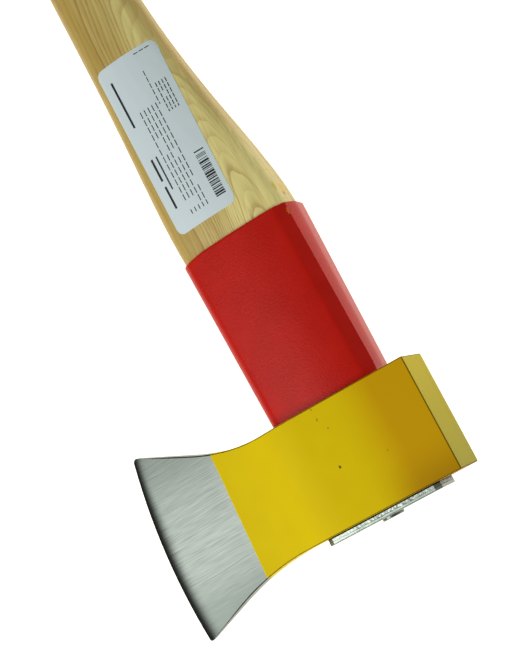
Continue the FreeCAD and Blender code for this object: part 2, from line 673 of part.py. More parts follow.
doc.recompute()
for item in doc.Objects:
    if "Invalid" in item.State or "Error" in item.State:
        raise RuntimeError(f"{item.Name} is {item.State}")
for piece in PIECES:
    if piece.Shape.isNull() or not piece.Shape.isValid() or len(piece.Shape.Solids) != 1:
        raise RuntimeError(f"{piece.Label} has no sound solid")
for piece in PIECES:
    piece.Shape.exportStep(f"parts/{piece.Label}.step")
    print(f"{piece.Label}: {piece.Shape.Volume / 1000:.2f} cm3")
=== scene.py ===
import math

import bmesh
import bpy
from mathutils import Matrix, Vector, noise


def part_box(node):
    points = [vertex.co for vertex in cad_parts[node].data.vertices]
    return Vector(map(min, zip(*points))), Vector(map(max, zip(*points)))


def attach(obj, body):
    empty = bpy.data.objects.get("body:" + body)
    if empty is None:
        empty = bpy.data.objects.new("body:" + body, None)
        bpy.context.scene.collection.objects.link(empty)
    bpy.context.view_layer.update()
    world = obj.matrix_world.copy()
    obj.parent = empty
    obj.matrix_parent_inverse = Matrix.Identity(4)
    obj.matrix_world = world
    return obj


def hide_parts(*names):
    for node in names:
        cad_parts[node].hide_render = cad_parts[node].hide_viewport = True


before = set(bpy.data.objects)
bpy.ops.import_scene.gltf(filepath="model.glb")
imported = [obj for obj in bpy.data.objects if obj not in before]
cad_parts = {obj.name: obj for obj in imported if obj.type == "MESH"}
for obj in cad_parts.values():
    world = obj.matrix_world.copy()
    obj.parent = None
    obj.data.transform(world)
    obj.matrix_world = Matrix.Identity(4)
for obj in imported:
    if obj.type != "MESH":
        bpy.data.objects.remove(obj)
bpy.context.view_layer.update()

# ---- Handle -------------------------------------------------------------------------------------
# One billet of ash, turned to an egg section on a copying lathe, belt sanded along its length and
# dipped in clear oil. Its top end is a tongue that is driven through the sleeve and the head's eye.
MM = 0.001
MERGE = 1e-6                        # metres: points this close are one
PITH = (180.0, 54.0, -22.0)         # mm: the middle of the tree, under the back half of the billet
RING = 1.8                          # mm of growth in a year
ASH_PALE, ASH_TAN, ASH_BROWN, ASH_PORE = "#F4E898", "#BEA251", "#A88039", "#8E7038"
ARCH_START, ARCH_END = 30.0, 190.0  # mm along the axe: where the billet was sawn across its rings
ARCH_DEPTH, ARCH_PINCH = 26.0, 3.5  # mm of rings that are cut across, and how pointed they look
ARCH_Y, ARCH_X, ARCH_LEAN = 52.0, 170.0, 0.14  # mm: a point on the arches' line, and its lean
ARCH_WIDTH = 7.0                    # mm: half the width of an arch's tip
SWAY, RIPPLE = 6.0, 1.6             # mm that the rings stray, in long waves and in short ones


def linear(code):
    """An sRGB hex value as the linear colour that a shader wants."""
    parts = [int(code[i : i + 2], 16) / 255 for i in (1, 3, 5)]
    return (*(c / 12.92 if c <= 0.04045 else ((c + 0.055) / 1.055) ** 2.4 for c in parts), 1.0)


MATH, VECTOR, RANGE = "ShaderNodeMath", "ShaderNodeVectorMath", "ShaderNodeMapRange"
MIX, NOISE, LUCK = "ShaderNodeMix", "ShaderNodeTexNoise", "ShaderNodeTexWhiteNoise"
JOIN_XYZ, SPLIT_XYZ = "ShaderNodeCombineXYZ", "ShaderNodeSeparateXYZ"
SMOOTH = {"interpolation_type": "SMOOTHSTEP"}


def feed(tree, node, feeds):
    """Sets or links the inputs that a node shows: the first few in order, or any by number or
    name. A node stands for its first output, and a hex code for its colour."""
    sockets = [s for s in node.inputs if s.enabled]
    for key, value in feeds.items() if isinstance(feeds, dict) else enumerate(feeds):
        socket = sockets[key] if isinstance(key, int) else next(s for s in sockets if s.name == key)
        if isinstance(value, bpy.types.Node):
            value = next(s for s in value.outputs if s.enabled)
        if isinstance(value, bpy.types.NodeSocket):
            tree.links.new(value, socket)
        else:
            socket.default_value = linear(value) if isinstance(value, str) else value


def add(tree, kind, feeds=(), operation=None, stops=(), **settings):
    """Adds a node to a tree with its settings and its inputs. stops are a colour ramp's."""
    node = tree.nodes.new(kind)
    if operation:
        node.operation = operation
    if kind == MIX:
        node.data_type = "RGBA"  # every mix here is of colours
    for name, value in settings.items():
        setattr(node, name, value)
    feed(tree, node, feeds)
    for count, (place, shade) in enumerate(stops):
        points = node.color_ramp.elements
        point = points[count] if count < 2 else points.new(place)
        point.position = place
        point.color = (shade, shade, shade, 1.0)
    return node


def streaks(tree, place, along, across, detail):
    """Noise that is drawn out along the first axis, with the size of its grain in mm."""
    grain = (1 / along, 1 / across, 1 / across)
    stretched = add(tree, VECTOR, (place, grain), "MULTIPLY")
    return add(tree, NOISE, (stretched, 1.0, detail))


def start_finish(name, roughness, metallic=0.0, specular=0.5):
    """A new material: its tree, its shader, and its piece's own coordinates in millimetres."""
    finish = bpy.data.materials.new(name)
    finish.use_nodes = True
    tree = finish.node_tree
    shader = tree.nodes["Principled BSDF"]
    feed(tree, shader, {"Roughness": roughness, "Metallic": metallic, "Specular IOR Level": specular})
    place = add(tree, "ShaderNodeTexCoord").outputs["Object"]
    mm = add(tree, VECTOR, (place, 1 / MM), "SCALE")
    x, y, z = add(tree, SPLIT_XYZ, (mm,)).outputs
    return finish, tree, shader, mm, x, y, z


ash, tree, shader, mm, x, y, z = start_finish("oiled_ash", roughness=0.42, specular=0.35)
# Ring-porous wood: each year starts with a band of open pores, brown lines that run with the grain,
# and ends pale and dense. Sawn off the quarter, it shows stripes on one half and arches on the other.
sway = streaks(tree, mm, 130, 30, 2.0)
ripple = streaks(tree, mm, 60, 9, 2.0)
from_pith = add(tree, VECTOR, (mm, PITH), "SUBTRACT")
across = add(tree, VECTOR, (from_pith, (0, 1, 1)), "MULTIPLY")
reach = add(tree, VECTOR, (across,), "LENGTH")
# The back half was sawn a little across the grain below the shoulder, which lays its rings out in
# nested arches that point to the grip.
arch_run = add(tree, RANGE, {0: x, 1: ARCH_START, 2: ARCH_END, 4: ARCH_DEPTH})
lean_back = add(tree, RANGE, {0: x, 1: ARCH_X, 2: ARCH_START, 4: ARCH_LEAN * (ARCH_X - ARCH_START)})
arch_place = add(tree, MATH, (y, lean_back), "ADD")
arch_front = add(tree, RANGE, (arch_place, 20.0, 49.0), **SMOOTH)
arch_back = add(tree, RANGE, (arch_place, 70.0, 56.0), **SMOOTH)
arch_band = add(tree, MATH, (arch_front, arch_back), "MULTIPLY")
sunk = add(tree, MATH, (arch_run, arch_band), "MULTIPLY")
off_arch = add(tree, MATH, (arch_place, 1 / ARCH_WIDTH, -ARCH_Y / ARCH_WIDTH), "MULTIPLY_ADD")
off_arch = add(tree, MATH, (off_arch, 2.0), "POWER")
off_arch = add(tree, MATH, (off_arch, -1.0), "MULTIPLY")
pinch = add(tree, MATH, (off_arch,), "EXPONENT")
pinched = add(tree, MATH, (pinch, -ARCH_PINCH, reach), "MULTIPLY_ADD")
leaning = add(tree, MATH, (pinched, sunk), "SUBTRACT")
swayed = add(tree, MATH, (sway, SWAY, leaning), "MULTIPLY_ADD")
rippled = add(tree, MATH, (ripple, RIPPLE, swayed), "MULTIPLY_ADD")
years = add(tree, MATH, (rippled, RING), "DIVIDE")
season = add(tree, MATH, (years,), "FRACT")
year = add(tree, MATH, (years,), "FLOOR")
year_luck = add(tree, LUCK, (year,), noise_dimensions="1D")
early_stops = [(0.0, 1.0), (1.0, 0.7), (0.18, 0.8), (0.4, 0.3), (0.7, 0.05), (0.95, 0.0)]
early = add(tree, "ShaderNodeValToRGB", (season,), stops=early_stops)
year_weight = add(tree, RANGE, {0: year_luck, 3: 0.2, 4: 1.0})
early_seen = add(tree, MATH, (early, year_weight), "MULTIPLY")
# The rings fade towards the sapwood at the back, and come back along the grip.
sapwood = add(tree, RANGE, (arch_place, 36.0, 66.0))
by_head = add(tree, RANGE, {0: x, 1: 0.0, 2: 60.0, 4: -0.75})
faded = add(tree, MATH, (sapwood, by_head, 1.0), "MULTIPLY_ADD")
early_seen = add(tree, MATH, (early_seen, faded), "MULTIPLY")
zone = streaks(tree, mm, 160, 13, 2.0)
# The sapwood at the back is the palest, and the wood browns towards the front. Both narrow edges are
# drawn browner as painted shade.
heart = add(tree, RANGE, (y, 6.0, 60.0, 0.55, -0.8))
wood_low, wood_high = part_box("handle")
off_middle = add(tree, MATH, (z, (wood_low.z + wood_high.z) / 2 / MM), "SUBTRACT")
off_middle = add(tree, MATH, (off_middle,), "ABSOLUTE")
edge_painted_shade = add(tree, RANGE, {0: off_middle, 1: 11.5, 2: 6.0, 4: 0.95})
heart = add(tree, MATH, (heart, edge_painted_shade), "ADD")
zone_mix = add(tree, MATH, (zone, 1.3, heart), "MULTIPLY_ADD", use_clamp=True)
field = add(tree, MIX, (zone_mix, ASH_PALE, ASH_TAN))
ringed = add(tree, MIX, (early_seen, field, ASH_BROWN))
pore_noise = streaks(tree, mm, 7, 0.45, 1.0)
pore_cut = add(tree, RANGE, (pore_noise, 0.56, 0.68))
pores = add(tree, MATH, (pore_cut, early_seen), "MULTIPLY")
fibres = streaks(tree, mm, 45, 1.1, 3.0)
fibre_shade = add(tree, RANGE, (fibres, 0.3, 0.7, 0.9, 1.1))
shaded = add(tree, MIX, (1.0, ringed, fibre_shade), blend_type="MULTIPLY")
pored = add(tree, MIX, (pores, shaded, ASH_PORE))


def lay_marks(tree, mm, colour, marks):
    """Lays small ragged marks over a colour. Each mark has its middle, its reach along and across
    the axe, in mm, its own colour, and how much it covers of what is below."""
    ragged = add(tree, NOISE, (mm, 1 / 0.9, 2.0))
    for middle, along, across, code, cover in marks:
        off = add(tree, VECTOR, (mm, middle), "SUBTRACT")
        off = add(tree, VECTOR, (off, (1 / along, 1 / across, 1 / across)), "MULTIPLY")
        far = add(tree, VECTOR, (off,), "LENGTH")
        far = add(tree, MATH, (ragged, 1.4, far), "MULTIPLY_ADD")
        seen = add(tree, RANGE, {0: far, 1: 1.85, 2: 1.45, 4: cover})
        colour = add(tree, MIX, (seen, colour, code))
    return colour


WOOD_MARKS = [  # the head's yellow enamel, rubbed off on the wood below the sleeve
    ((172.9, 65.4, 29.4), 2.8, 1.1, "#D9C23A", 0.75),
    ((174.4, 66.3, 22.2), 3.4, 3.4, "#D9AC00", 0.95),
    ((177.4, 66.5, 23.2), 0.9, 2.2, "#B85C00", 0.95),
]
marked = lay_marks(tree, mm, pored, WOOD_MARKS)
relief = add(tree, MATH, (fibres, pores), "SUBTRACT")
bump = add(tree, "ShaderNodeBump", {"Strength": 0.35, "Distance": 0.12 * MM, "Height": relief})
feed(tree, shader, {"Base Color": marked, "Normal": bump})


def stand(name, data):
    """A mesh, lamp or camera as a new object in the scene."""
    item = bpy.data.objects.new(name, data)
    bpy.context.scene.collection.objects.link(item)
    return item


def loose_copy(node):
    """A merged copy of a CAD node, for other pieces to be fitted to."""
    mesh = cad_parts[node].data.copy()
    shell = bmesh.new()
    shell.from_mesh(mesh)
    bmesh.ops.remove_doubles(shell, verts=shell.verts, dist=MERGE)
    shell.to_mesh(mesh)
    shell.free()
    return stand(node + "_guide", mesh)


SOCKETS = {int: "NodeSocketInt", float: "NodeSocketFloat", bpy.types.Object: "NodeSocketObject"}


def make_tree(name, inputs):
    """An empty Geometry Nodes tree with a named input for each value."""
    tree = bpy.data.node_groups.new(name, "GeometryNodeTree")
    tree.interface.new_socket("Geometry", in_out="OUTPUT", socket_type="NodeSocketGeometry")
    for label, value in inputs.items():
        tree.interface.new_socket(label, in_out="INPUT", socket_type=SOCKETS[type(value)])
    return tree, tree.nodes.new("NodeGroupInput").outputs


def run_tree(tree, inputs, name, finish):
    """Runs a tree with its inputs' values and keeps what it makes as a plain mesh piece."""
    maker = stand(name + "_maker", bpy.data.meshes.new(name + "_maker"))
    modifier = maker.modifiers.new(name, "NODES")
    modifier.node_group = tree
    sockets = {i.name: i.identifier for i in tree.interface.items_tree if i.in_out == "INPUT"}
    for label, value in inputs.items():
        modifier[sockets[label]] = value
    graph = bpy.context.evaluated_depsgraph_get()
    mesh = bpy.data.meshes.new_from_object(maker.evaluated_get(graph), depsgraph=graph)
    bpy.data.objects.remove(maker)
    mesh.name = name
    piece = stand(name, mesh)
    mesh.materials.clear()
    mesh.materials.append(finish)
    mesh.polygons.foreach_set("material_index", [0] * len(mesh.polygons))
    return piece


def start_net(tree, source, rows, columns):
    """Starts a tree: the mesh that it works from, a flat grid one unit square, and the places of
    its points."""
    info = add(tree, "GeometryNodeObjectInfo", (source,), transform_space="RELATIVE")
    grid = add(tree, "GeometryNodeMeshGrid", (1.0, 1.0, rows, columns))
    where = add(tree, "GeometryNodeInputPosition")
    row, column, _ = add(tree, SPLIT_XYZ, (where,)).outputs
    return info.outputs["Geometry"], grid, where, row, column


def close_tree(tree, geometry, finish):
    """Ends a tree: its instances made real, its material set."""
    real = add(tree, "GeometryNodeRealizeInstances", (geometry,))
    dressed = add(tree, "GeometryNodeSetMaterial", {"Geometry": real, "Material": finish})
    add(tree, "NodeGroupOutput", (dressed,))


def mount(piece, slot, *nodes):
    """A finished piece rides on the axe and stands for its CAD nodes; the slot argument is not used."""
    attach(piece, "root")
    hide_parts(*nodes)


low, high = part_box("handle")
billet_guide = loose_copy("handle")
billet_inputs = {
    "Billet": billet_guide,
    "Rings": 360,
    "Round": 120,
    "Knob end": low.x,
    "Top end": high.x,
    "Middle height": (low.z + high.z) / 2,
    "Sanding": 0.05 * MM,
}
# The lathe's tree: rings along the billet, closest together where its ends are rounded. Each ring
# finds the middle of the wood with two rays, then feels for its surface all the way round.
tree, given = make_tree("copying_lathe", billet_inputs)
FAR = 0.2                           # metres: well outside the wood
END_CROWDING = 0.93                 # how far the rings crowd at the ends, up to 1
SKIN = 0.04 * MM                    # the first ring's depth behind the flat end
SAND_GRAIN = (8.0, 60.0, 60.0)      # per metre: the belt's waves are long, and narrow across
AT_END = 0.49999                    # of the grid, whose half is 0.5: only its end rows are further out
wood, grid, _, row, column = start_net(tree, given["Billet"], given["Rings"], given["Round"])
share = add(tree, MATH, (row, 0.5), "ADD")
wave = add(tree, MATH, (share, 2 * math.pi), "MULTIPLY")
sine = add(tree, MATH, (wave,), "SINE")
crowded = add(tree, MATH, (sine, -END_CROWDING / (2 * math.pi), share), "MULTIPLY_ADD")
first_x = add(tree, MATH, (given["Knob end"], SKIN), "ADD")
last_x = add(tree, MATH, (given["Top end"], SKIN), "SUBTRACT")
ring_x = add(tree, RANGE, {"Value": crowded, "To Min": first_x, "To Max": last_x})
hits = []
for side in (1, -1):
    start = add(tree, JOIN_XYZ, (ring_x, side * FAR, given["Middle height"]))
    feeler = add(tree, "GeometryNodeRaycast", {
        "Target Geometry": wood, "Source Position": start,
        "Ray Direction": (0, -side, 0), "Ray Length": 2 * FAR})
    hits.append(feeler.outputs["Hit Position"])
both = add(tree, VECTOR, (hits[0], hits[1]), "ADD")
middle = add(tree, VECTOR, (both, 0.5), "SCALE")
turn = add(tree, MATH, (column, 2 * math.pi), "MULTIPLY")
out_y = add(tree, MATH, (turn,), "COSINE")
out_z = add(tree, MATH, (turn,), "SINE")
flat_z = add(tree, MATH, (out_z, 0.5), "MULTIPLY")
outward = add(tree, JOIN_XYZ, {"Y": out_y, "Z": flat_z})
outward = add(tree, VECTOR, (outward,), "NORMALIZE")
away = add(tree, VECTOR, (outward, FAR), "SCALE")
start = add(tree, VECTOR, (middle, away), "ADD")
inward = add(tree, VECTOR, (outward, -1.0), "SCALE")
feeler = add(tree, "GeometryNodeRaycast", {
    "Target Geometry": wood, "Source Position": start,
    "Ray Direction": inward, "Ray Length": FAR})
sand_place = add(tree, VECTOR, (feeler.outputs["Hit Position"], SAND_GRAIN), "MULTIPLY")
sand_noise = add(tree, NOISE, (sand_place, 1.0, 1.0))
sand_depth = add(tree, RANGE, {"Value": sand_noise, "To Min": 0.0, "To Max": given["Sanding"]})
sand_move = add(tree, VECTOR, (inward, sand_depth), "SCALE")
skin = add(tree, VECTOR, (feeler.outputs["Hit Position"], sand_move), "ADD")
past_end = add(tree, MATH, (row,), "ABSOLUTE")
is_end = add(tree, "FunctionNodeCompare", {"A": past_end, "B": AT_END}, "GREATER_THAN")
end_x = add(tree, RANGE, {"Value": share, "To Min": given["Knob end"], "To Max": given["Top end"]})
flat_middle = add(tree, VECTOR, (middle, (0, 1, 1)), "MULTIPLY")
end_step = add(tree, JOIN_XYZ, {"X": end_x})
pole = add(tree, VECTOR, (flat_middle, end_step), "ADD")
goal = add(tree, "GeometryNodeSwitch", (is_end, skin, pole), input_type="VECTOR")
turned = add(tree, "GeometryNodeSetPosition", {"Geometry": grid, "Position": goal})
welded = add(tree, "GeometryNodeMergeByDistance", {"Geometry": turned, "Distance": 0.01 * MM})
outside = add(tree, "GeometryNodeFlipFaces", {"Mesh": welded})
smooth = add(tree, "GeometryNodeSetShadeSmooth", {"Geometry": outside})
close_tree(tree, smooth, ash)
handle = run_tree(tree, billet_inputs, "ash_handle", ash)
mount(handle, "ash_wood", "handle")
bpy.data.objects.remove(billet_guide)

# ---- Label --------------------------------------------------------------------------------------
# A die-cut paper-backed film, 97 mm by 37 mm, pressed on the broad side of the handle. It is printed
# with plain rules and a block of bars only, and has no letters, numbers or marks on it.
FILM, INK = "#D8E6E7", "#1E2427"
# Each block of rules: which way it runs, its start and end, its first row, row height, row pitch,
# rows, the pitch of its dashes, and the share of dashes that are there. All but the first, the
# number of rows and the last are in mm.
RULES = [
    ("x", 82.0, 109.0, 14.6, 1.3, 9.0, 1, 80.0, 1.0),
    ("x", 128.0, 160.0, 14.6, 1.3, 9.0, 1, 16.0, 1.0),
    ("x", 128.0, 152.0, 17.8, 0.9, 9.0, 1, 24.0, 1.0),
    ("x", 104.0, 163.8, 21.4, 0.55, 2.5, 5, 4.4, 0.85),
    ("x", 95.0, 112.0, 36.2, 0.55, 1.9, 4, 3.1, 0.9),
    ("x", 82.5, 106.0, 33.4, 0.5, 9.0, 1, 3.7, 0.85),
    ("y", 29.5, 42.5, 76.0, 0.5, 9.0, 1, 3.3, 0.85),
]
INKED = 0.8                                 # of a dash's pitch: the rest is the gap after it
BARS = (137.2, 163.8, 37.3, 43.0, 0.36)     # x from and to, y from and to, the width of a thin bar

film, tree, shader, mm, x, y, z = start_finish("printed_film", roughness=0.42, specular=0.3)
ink = None
for number, (runs, start, end, first, height, pitch, rows, dash, share) in enumerate(RULES):
    run, rise = (x, y) if runs == "x" else (y, x)
    in_run = add(tree, MATH, (run, (start + end) / 2, (end - start) / 2), "COMPARE")
    half_rise = (pitch * (rows - 1) + height) / 2
    mid_rise = first + pitch * (rows - 1) / 2
    in_rise = add(tree, MATH, (rise, mid_rise, half_rise), "COMPARE")
    row = add(tree, MATH, (rise, first + pitch / 2, first - pitch / 2), "WRAP")
    in_row = add(tree, MATH, (row, first, height / 2), "COMPARE")
    dashes = add(tree, MATH, (run, 1 / dash, -start / dash), "MULTIPLY_ADD")
    dash_count = add(tree, MATH, (dashes,), "FLOOR")
    row_count = add(tree, MATH, (rise, 1 / pitch, 0.5 - first / pitch), "MULTIPLY_ADD")
    row_floor = add(tree, MATH, (row_count,), "FLOOR")
    cell = add(tree, JOIN_XYZ, (dash_count, row_floor, float(number)))
    luck = add(tree, LUCK, (cell,), noise_dimensions="3D")
    there = add(tree, MATH, (luck, share), "LESS_THAN")
    spot = add(tree, MATH, (dashes,), "FRACT")
    body = add(tree, MATH, (spot, INKED), "LESS_THAN")
    block = add(tree, MATH, (in_run, in_rise), "MULTIPLY")
    lines = add(tree, MATH, (in_row, there), "MULTIPLY")
    rule_area = add(tree, MATH, (block, lines), "MULTIPLY")
    printed = add(tree, MATH, (rule_area, body), "MULTIPLY")
    ink = printed if ink is None else add(tree, MATH, (ink, printed), "MAXIMUM")
bar_x0, bar_x1, bar_y0, bar_y1, thin = BARS
in_x = add(tree, MATH, (x, (bar_x0 + bar_x1) / 2, (bar_x1 - bar_x0) / 2), "COMPARE")
in_y = add(tree, MATH, (y, (bar_y0 + bar_y1) / 2, (bar_y1 - bar_y0) / 2), "COMPARE")
bar_step = add(tree, MATH, (x, thin), "SNAP")
bar_luck = add(tree, LUCK, (bar_step,), noise_dimensions="1D")
bar = add(tree, MATH, (bar_luck, 0.5), "LESS_THAN")
block = add(tree, MATH, (in_x, in_y), "MULTIPLY")
bars = add(tree, MATH, (block, bar), "MULTIPLY")
ink = add(tree, MATH, (ink, bars), "MAXIMUM")
printed = add(tree, MIX, (ink, FILM, INK))
feed(tree, shader, {"Base Color": printed})



def crisp(piece, degrees):
    """Shades a piece smooth, apart from edges that bend by more than some degrees."""
    piece.data.shade_smooth()
    piece.data.set_sharp_from_angle(angle=math.radians(degrees))


low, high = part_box("label")
label_inputs = {
    "Wood": handle,
    "Across": 60,
    "Along": 140,
    "Low x": low.x,
    "High x": high.x,
    "Low y": low.y,
    "High y": high.y,
    "Corner": 4.0 * MM,
    "Glue": 0.05 * MM,
    "Thickness": 0.14 * MM,
}
# The label's tree: a grid whose rows shorten at the rounded corners, dropped on to the wood, lifted
# by its glue, and given the thickness of the film.
tree, given = make_tree("pressed_label", label_inputs)
wood, grid, _, row, column = start_net(tree, given["Wood"], given["Along"], given["Across"])
width = add(tree, MATH, (given["High y"], given["Low y"]), "SUBTRACT")
length = add(tree, MATH, (given["High x"], given["Low x"]), "SUBTRACT")
off_middle = add(tree, MATH, (column, width), "MULTIPLY")
off_side = add(tree, MATH, (off_middle,), "ABSOLUTE")
straight = add(tree, MATH, (width, 0.5), "MULTIPLY")
straight = add(tree, MATH, (straight, given["Corner"]), "SUBTRACT")
into = add(tree, MATH, (off_side, straight), "SUBTRACT")
into = add(tree, MATH, (into, 0.0), "MAXIMUM")
into_2 = add(tree, MATH, (into, into), "MULTIPLY")
corner_2 = add(tree, MATH, (given["Corner"], given["Corner"]), "MULTIPLY")
rest_2 = add(tree, MATH, (corner_2, into_2), "SUBTRACT")
rest_2 = add(tree, MATH, (rest_2, 0.0), "MAXIMUM")
rest = add(tree, MATH, (rest_2,), "SQRT")
short = add(tree, MATH, (given["Corner"], rest), "SUBTRACT")
run = add(tree, MATH, (short, -2.0, length), "MULTIPLY_ADD")
middle_x = add(tree, MATH, (length, 0.5, given["Low x"]), "MULTIPLY_ADD")
middle_y = add(tree, MATH, (width, 0.5, given["Low y"]), "MULTIPLY_ADD")
place_x = add(tree, MATH, (row, run, middle_x), "MULTIPLY_ADD")
place_y = add(tree, MATH, (off_middle, middle_y), "ADD")
above = add(tree, JOIN_XYZ, (place_x, place_y, FAR))
drop = add(tree, "GeometryNodeRaycast", {
    "Target Geometry": wood, "Source Position": above,
    "Ray Direction": (0, 0, -1), "Ray Length": FAR})
glued = add(tree, VECTOR, (drop.outputs["Hit Normal"], given["Glue"]), "SCALE")
seat = add(tree, VECTOR, (drop.outputs["Hit Position"], glued), "ADD")
pressed = add(tree, "GeometryNodeSetPosition", {"Geometry": grid, "Position": seat})
under = add(tree, "GeometryNodeFlipFaces", {"Mesh": pressed})
face = add(tree, "GeometryNodeExtrudeMesh", {"Mesh": pressed, "Offset Scale": given["Thickness"],
                                             "Individual": False}, mode="FACES")
both_sides = add(tree, "GeometryNodeJoinGeometry")
tree.links.new(under.outputs[0], both_sides.inputs[0])
tree.links.new(face.outputs[0], both_sides.inputs[0])
welded = add(tree, "GeometryNodeMergeByDistance", {"Geometry": both_sides, "Distance": 0.004 * MM})
close_tree(tree, welded, film)
label = run_tree(tree, label_inputs, "printed_label", film)
crisp(label, 40)
mount(label, "label_film", "label")

# ---- Sleeve -------------------------------------------------------------------------------------
# The steel guard below the head, folded from 1.2 mm sheet and closed up the back. It is sprayed
# with red enamel before it is slid on, and goes right through the eye with the wood inside it.
RED, RED_DEEP = "#C41B0F", "#BC180B"
BACK_STEPS, FLANK_STEPS, NOSE_STEPS = 18, 60, 22  # points along half a section
BEND = 0.11                         # how soft the bend between flank and facet is
WALL, LIP_STEPS = 1.2, 6            # mm of sheet, and points round its rounded lip
NOSE_TRIM = 1.4                     # mm that the mouth is cut back at the nose
NOSE_FROM, NOSE_SPAN = -20.0, 14.0  # mm from the eye's middle: where the trim starts, and its run
TRIM_REACH = 12.0                   # mm above the mouth over which the trim dies out
EYE_MIDDLE_Y = 34.4                 # mm: the eye's middle, from the axe's own
UNDERSIDE_X = 279.66                # mm: the underside of the head
FLARE_REACH = 6.0                   # mm below it over which the sleeve swells out of the eye
EYE_RINGS, FLANK_RINGS, INNER_RINGS = 10, 90, 60  # in the eye, below it, and up the inside

red_enamel, tree, shader, mm, x, y, z = start_finish("red_enamel", roughness=0.3, specular=0.11)
peel = add(tree, NOISE, (mm, 1 / 0.9, 2.0))
drift = add(tree, NOISE, (mm, 1 / 18, 2.0))
tone = add(tree, RANGE, (drift, 0.35, 0.65))
red = add(tree, MIX, (tone, RED, RED_DEEP))
RED_MARKS = [  # two specks in the paint, and the head's yellow on the lip
    ((198.7, 54.8, 34.1), 0.5, 0.5, "#D9A79A", 0.8),
    ((188.0, 66.3, 31.5), 2.2, 0.7, "#E08A2A", 0.8),
    ((256.0, 49.5, 33.0), 0.4, 0.4, "#D98A7C", 0.7),
]
red = lay_marks(tree, mm, red, RED_MARKS)
bump = add(tree, "ShaderNodeBump", {"Strength": 0.5, "Distance": 0.22 * MM, "Height": peel})
feed(tree, shader, {"Base Color": red, "Normal": bump})


def egg_side(front, back, half, nose, flank, facet, fall, lean):
    """The upper outline of a section, in mm from the eye's middle: from the back, over the flank,
    to the nose. The flank bends down into a facet that is facet wide and falls by fall to a crisp
    fold, and the flat back leans in by lean to meet it."""
    nose_y = -front + nose
    gap = math.hypot(back - nose_y, half)
    along = ((flank - nose) ** 2 - flank**2 + gap**2) / (2 * gap)
    down = math.sqrt((flank - nose) ** 2 - along**2)
    to_y, to_z = (back - nose_y) / gap, half / gap
    centre_y, centre_z = nose_y + to_y * along + to_z * down, to_z * along - to_y * down
    touch = math.atan2(-centre_z, nose_y - centre_y)
    touch_y = centre_y + flank * math.cos(touch)
    fold_y = back - lean

    def flank_z(y):
        into = (y - fold_y) / facet + 1  # 0 at the bend, 1 at the fold
        bent = (into + math.sqrt(into**2 + BEND**2)) / 2
        return centre_z + math.sqrt(flank**2 - (y - centre_y) ** 2) - fall * bent

    points = []
    for i in range(BACK_STEPS):  # up the flat back
        rise = 1 - (1 - i / BACK_STEPS) ** 1.6
        points.append((back - lean * rise**1.4, flank_z(fold_y) * rise))
    for i in range(FLANK_STEPS + 1):  # over the shoulder and along the flank
        y = fold_y + (touch_y - fold_y) * (i / FLANK_STEPS) ** 1.35
        points.append((y, flank_z(y)))
    for i in range(1, NOSE_STEPS + 1):  # round the nose
        turn = touch + (math.pi - touch) * i / NOSE_STEPS
        points.append((nose_y + nose * math.cos(turn), nose * math.sin(turn)))
    return points


def whole_section(upper, lower):
    """A closed section from the outlines of its upper and lower sides."""
    return upper + [(y, -z) for y, z in lower[-2:0:-1]]


def soften(section, rounds):
    """Takes the sharpness off a closed section's corners."""
    for _ in range(rounds):
        ahead = section[1:] + section[:1]
        behind = section[-1:] + section[:-1]
        section = [tuple(0.25 * a + 0.5 * b + 0.25 * c for a, b, c in zip(*trio))
                   for trio in zip(behind, section, ahead)]
    return section


def net_mesh(name, rows, closed_rows=False):
    """A mesh from rows of points, each row a closed ring. Its last row may join its first."""
    shell = bmesh.new()
    verts = [[shell.verts.new([c * MM for c in point]) for point in row] for row in rows]
    pairs = list(zip(verts, verts[1:])) + ([(verts[-1], verts[0])] if closed_rows else [])
    for near, far in pairs:
        for i in range(len(near)):
            shell.faces.new((near[i - 1], near[i], far[i], far[i - 1]))
    bmesh.ops.recalc_face_normals(shell, faces=shell.faces)
    mesh = bpy.data.meshes.new(name)
    shell.to_mesh(mesh)
    shell.free()
    return stand(name, mesh)


low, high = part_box("steel_sleeve")
mid_z = (low.z + high.z) / 2 / MM
mouth_x, top_x = low.x / MM, high.x / MM
# mm: front, back, half height, nose and flank radii, and the facet's width, fall and lean.
eye_side = egg_side(32.0, 33.9, 13.1, 10.0, 130.0, 2.4, 0.9, 0.7)
eye = soften(whole_section(eye_side, eye_side), 3)
# The sheet was not folded quite square: its upper fold leans in further than its lower one.
below_upper = egg_side(32.0, 34.1, 13.3, 10.0, 130.0, 6.2, 3.9, 1.0)
below_lower = egg_side(32.0, 34.1, 13.3, 10.0, 130.0, 4.6, 2.6, 0.6)
below = whole_section(below_upper, below_lower)
mouth_upper = egg_side(34.4, 34.3, 15.4, 10.0, 170.0, 6.0, 3.7, 2.3)
mouth_lower = egg_side(34.4, 34.3, 15.4, 10.0, 170.0, 4.2, 2.2, 0.6)
mouth = whole_section(mouth_upper, mouth_lower)


def blend_sections(a, b, share):
    """A section part of the way from one to another."""
    return [tuple(p[k] + (q[k] - p[k]) * share for k in range(2)) for p, q in zip(a, b)]


def inset_section(section, depth):
    """A section moved inwards by depth."""
    moved = []
    for i, (y, z) in enumerate(section):
        (y0, z0), (y1, z1) = section[i - 1], section[(i + 1) % len(section)]
        size = math.hypot(y1 - y0, z1 - z0)
        moved.append((y - depth * (z1 - z0) / size, z + depth * (y1 - y0) / size))
    return moved


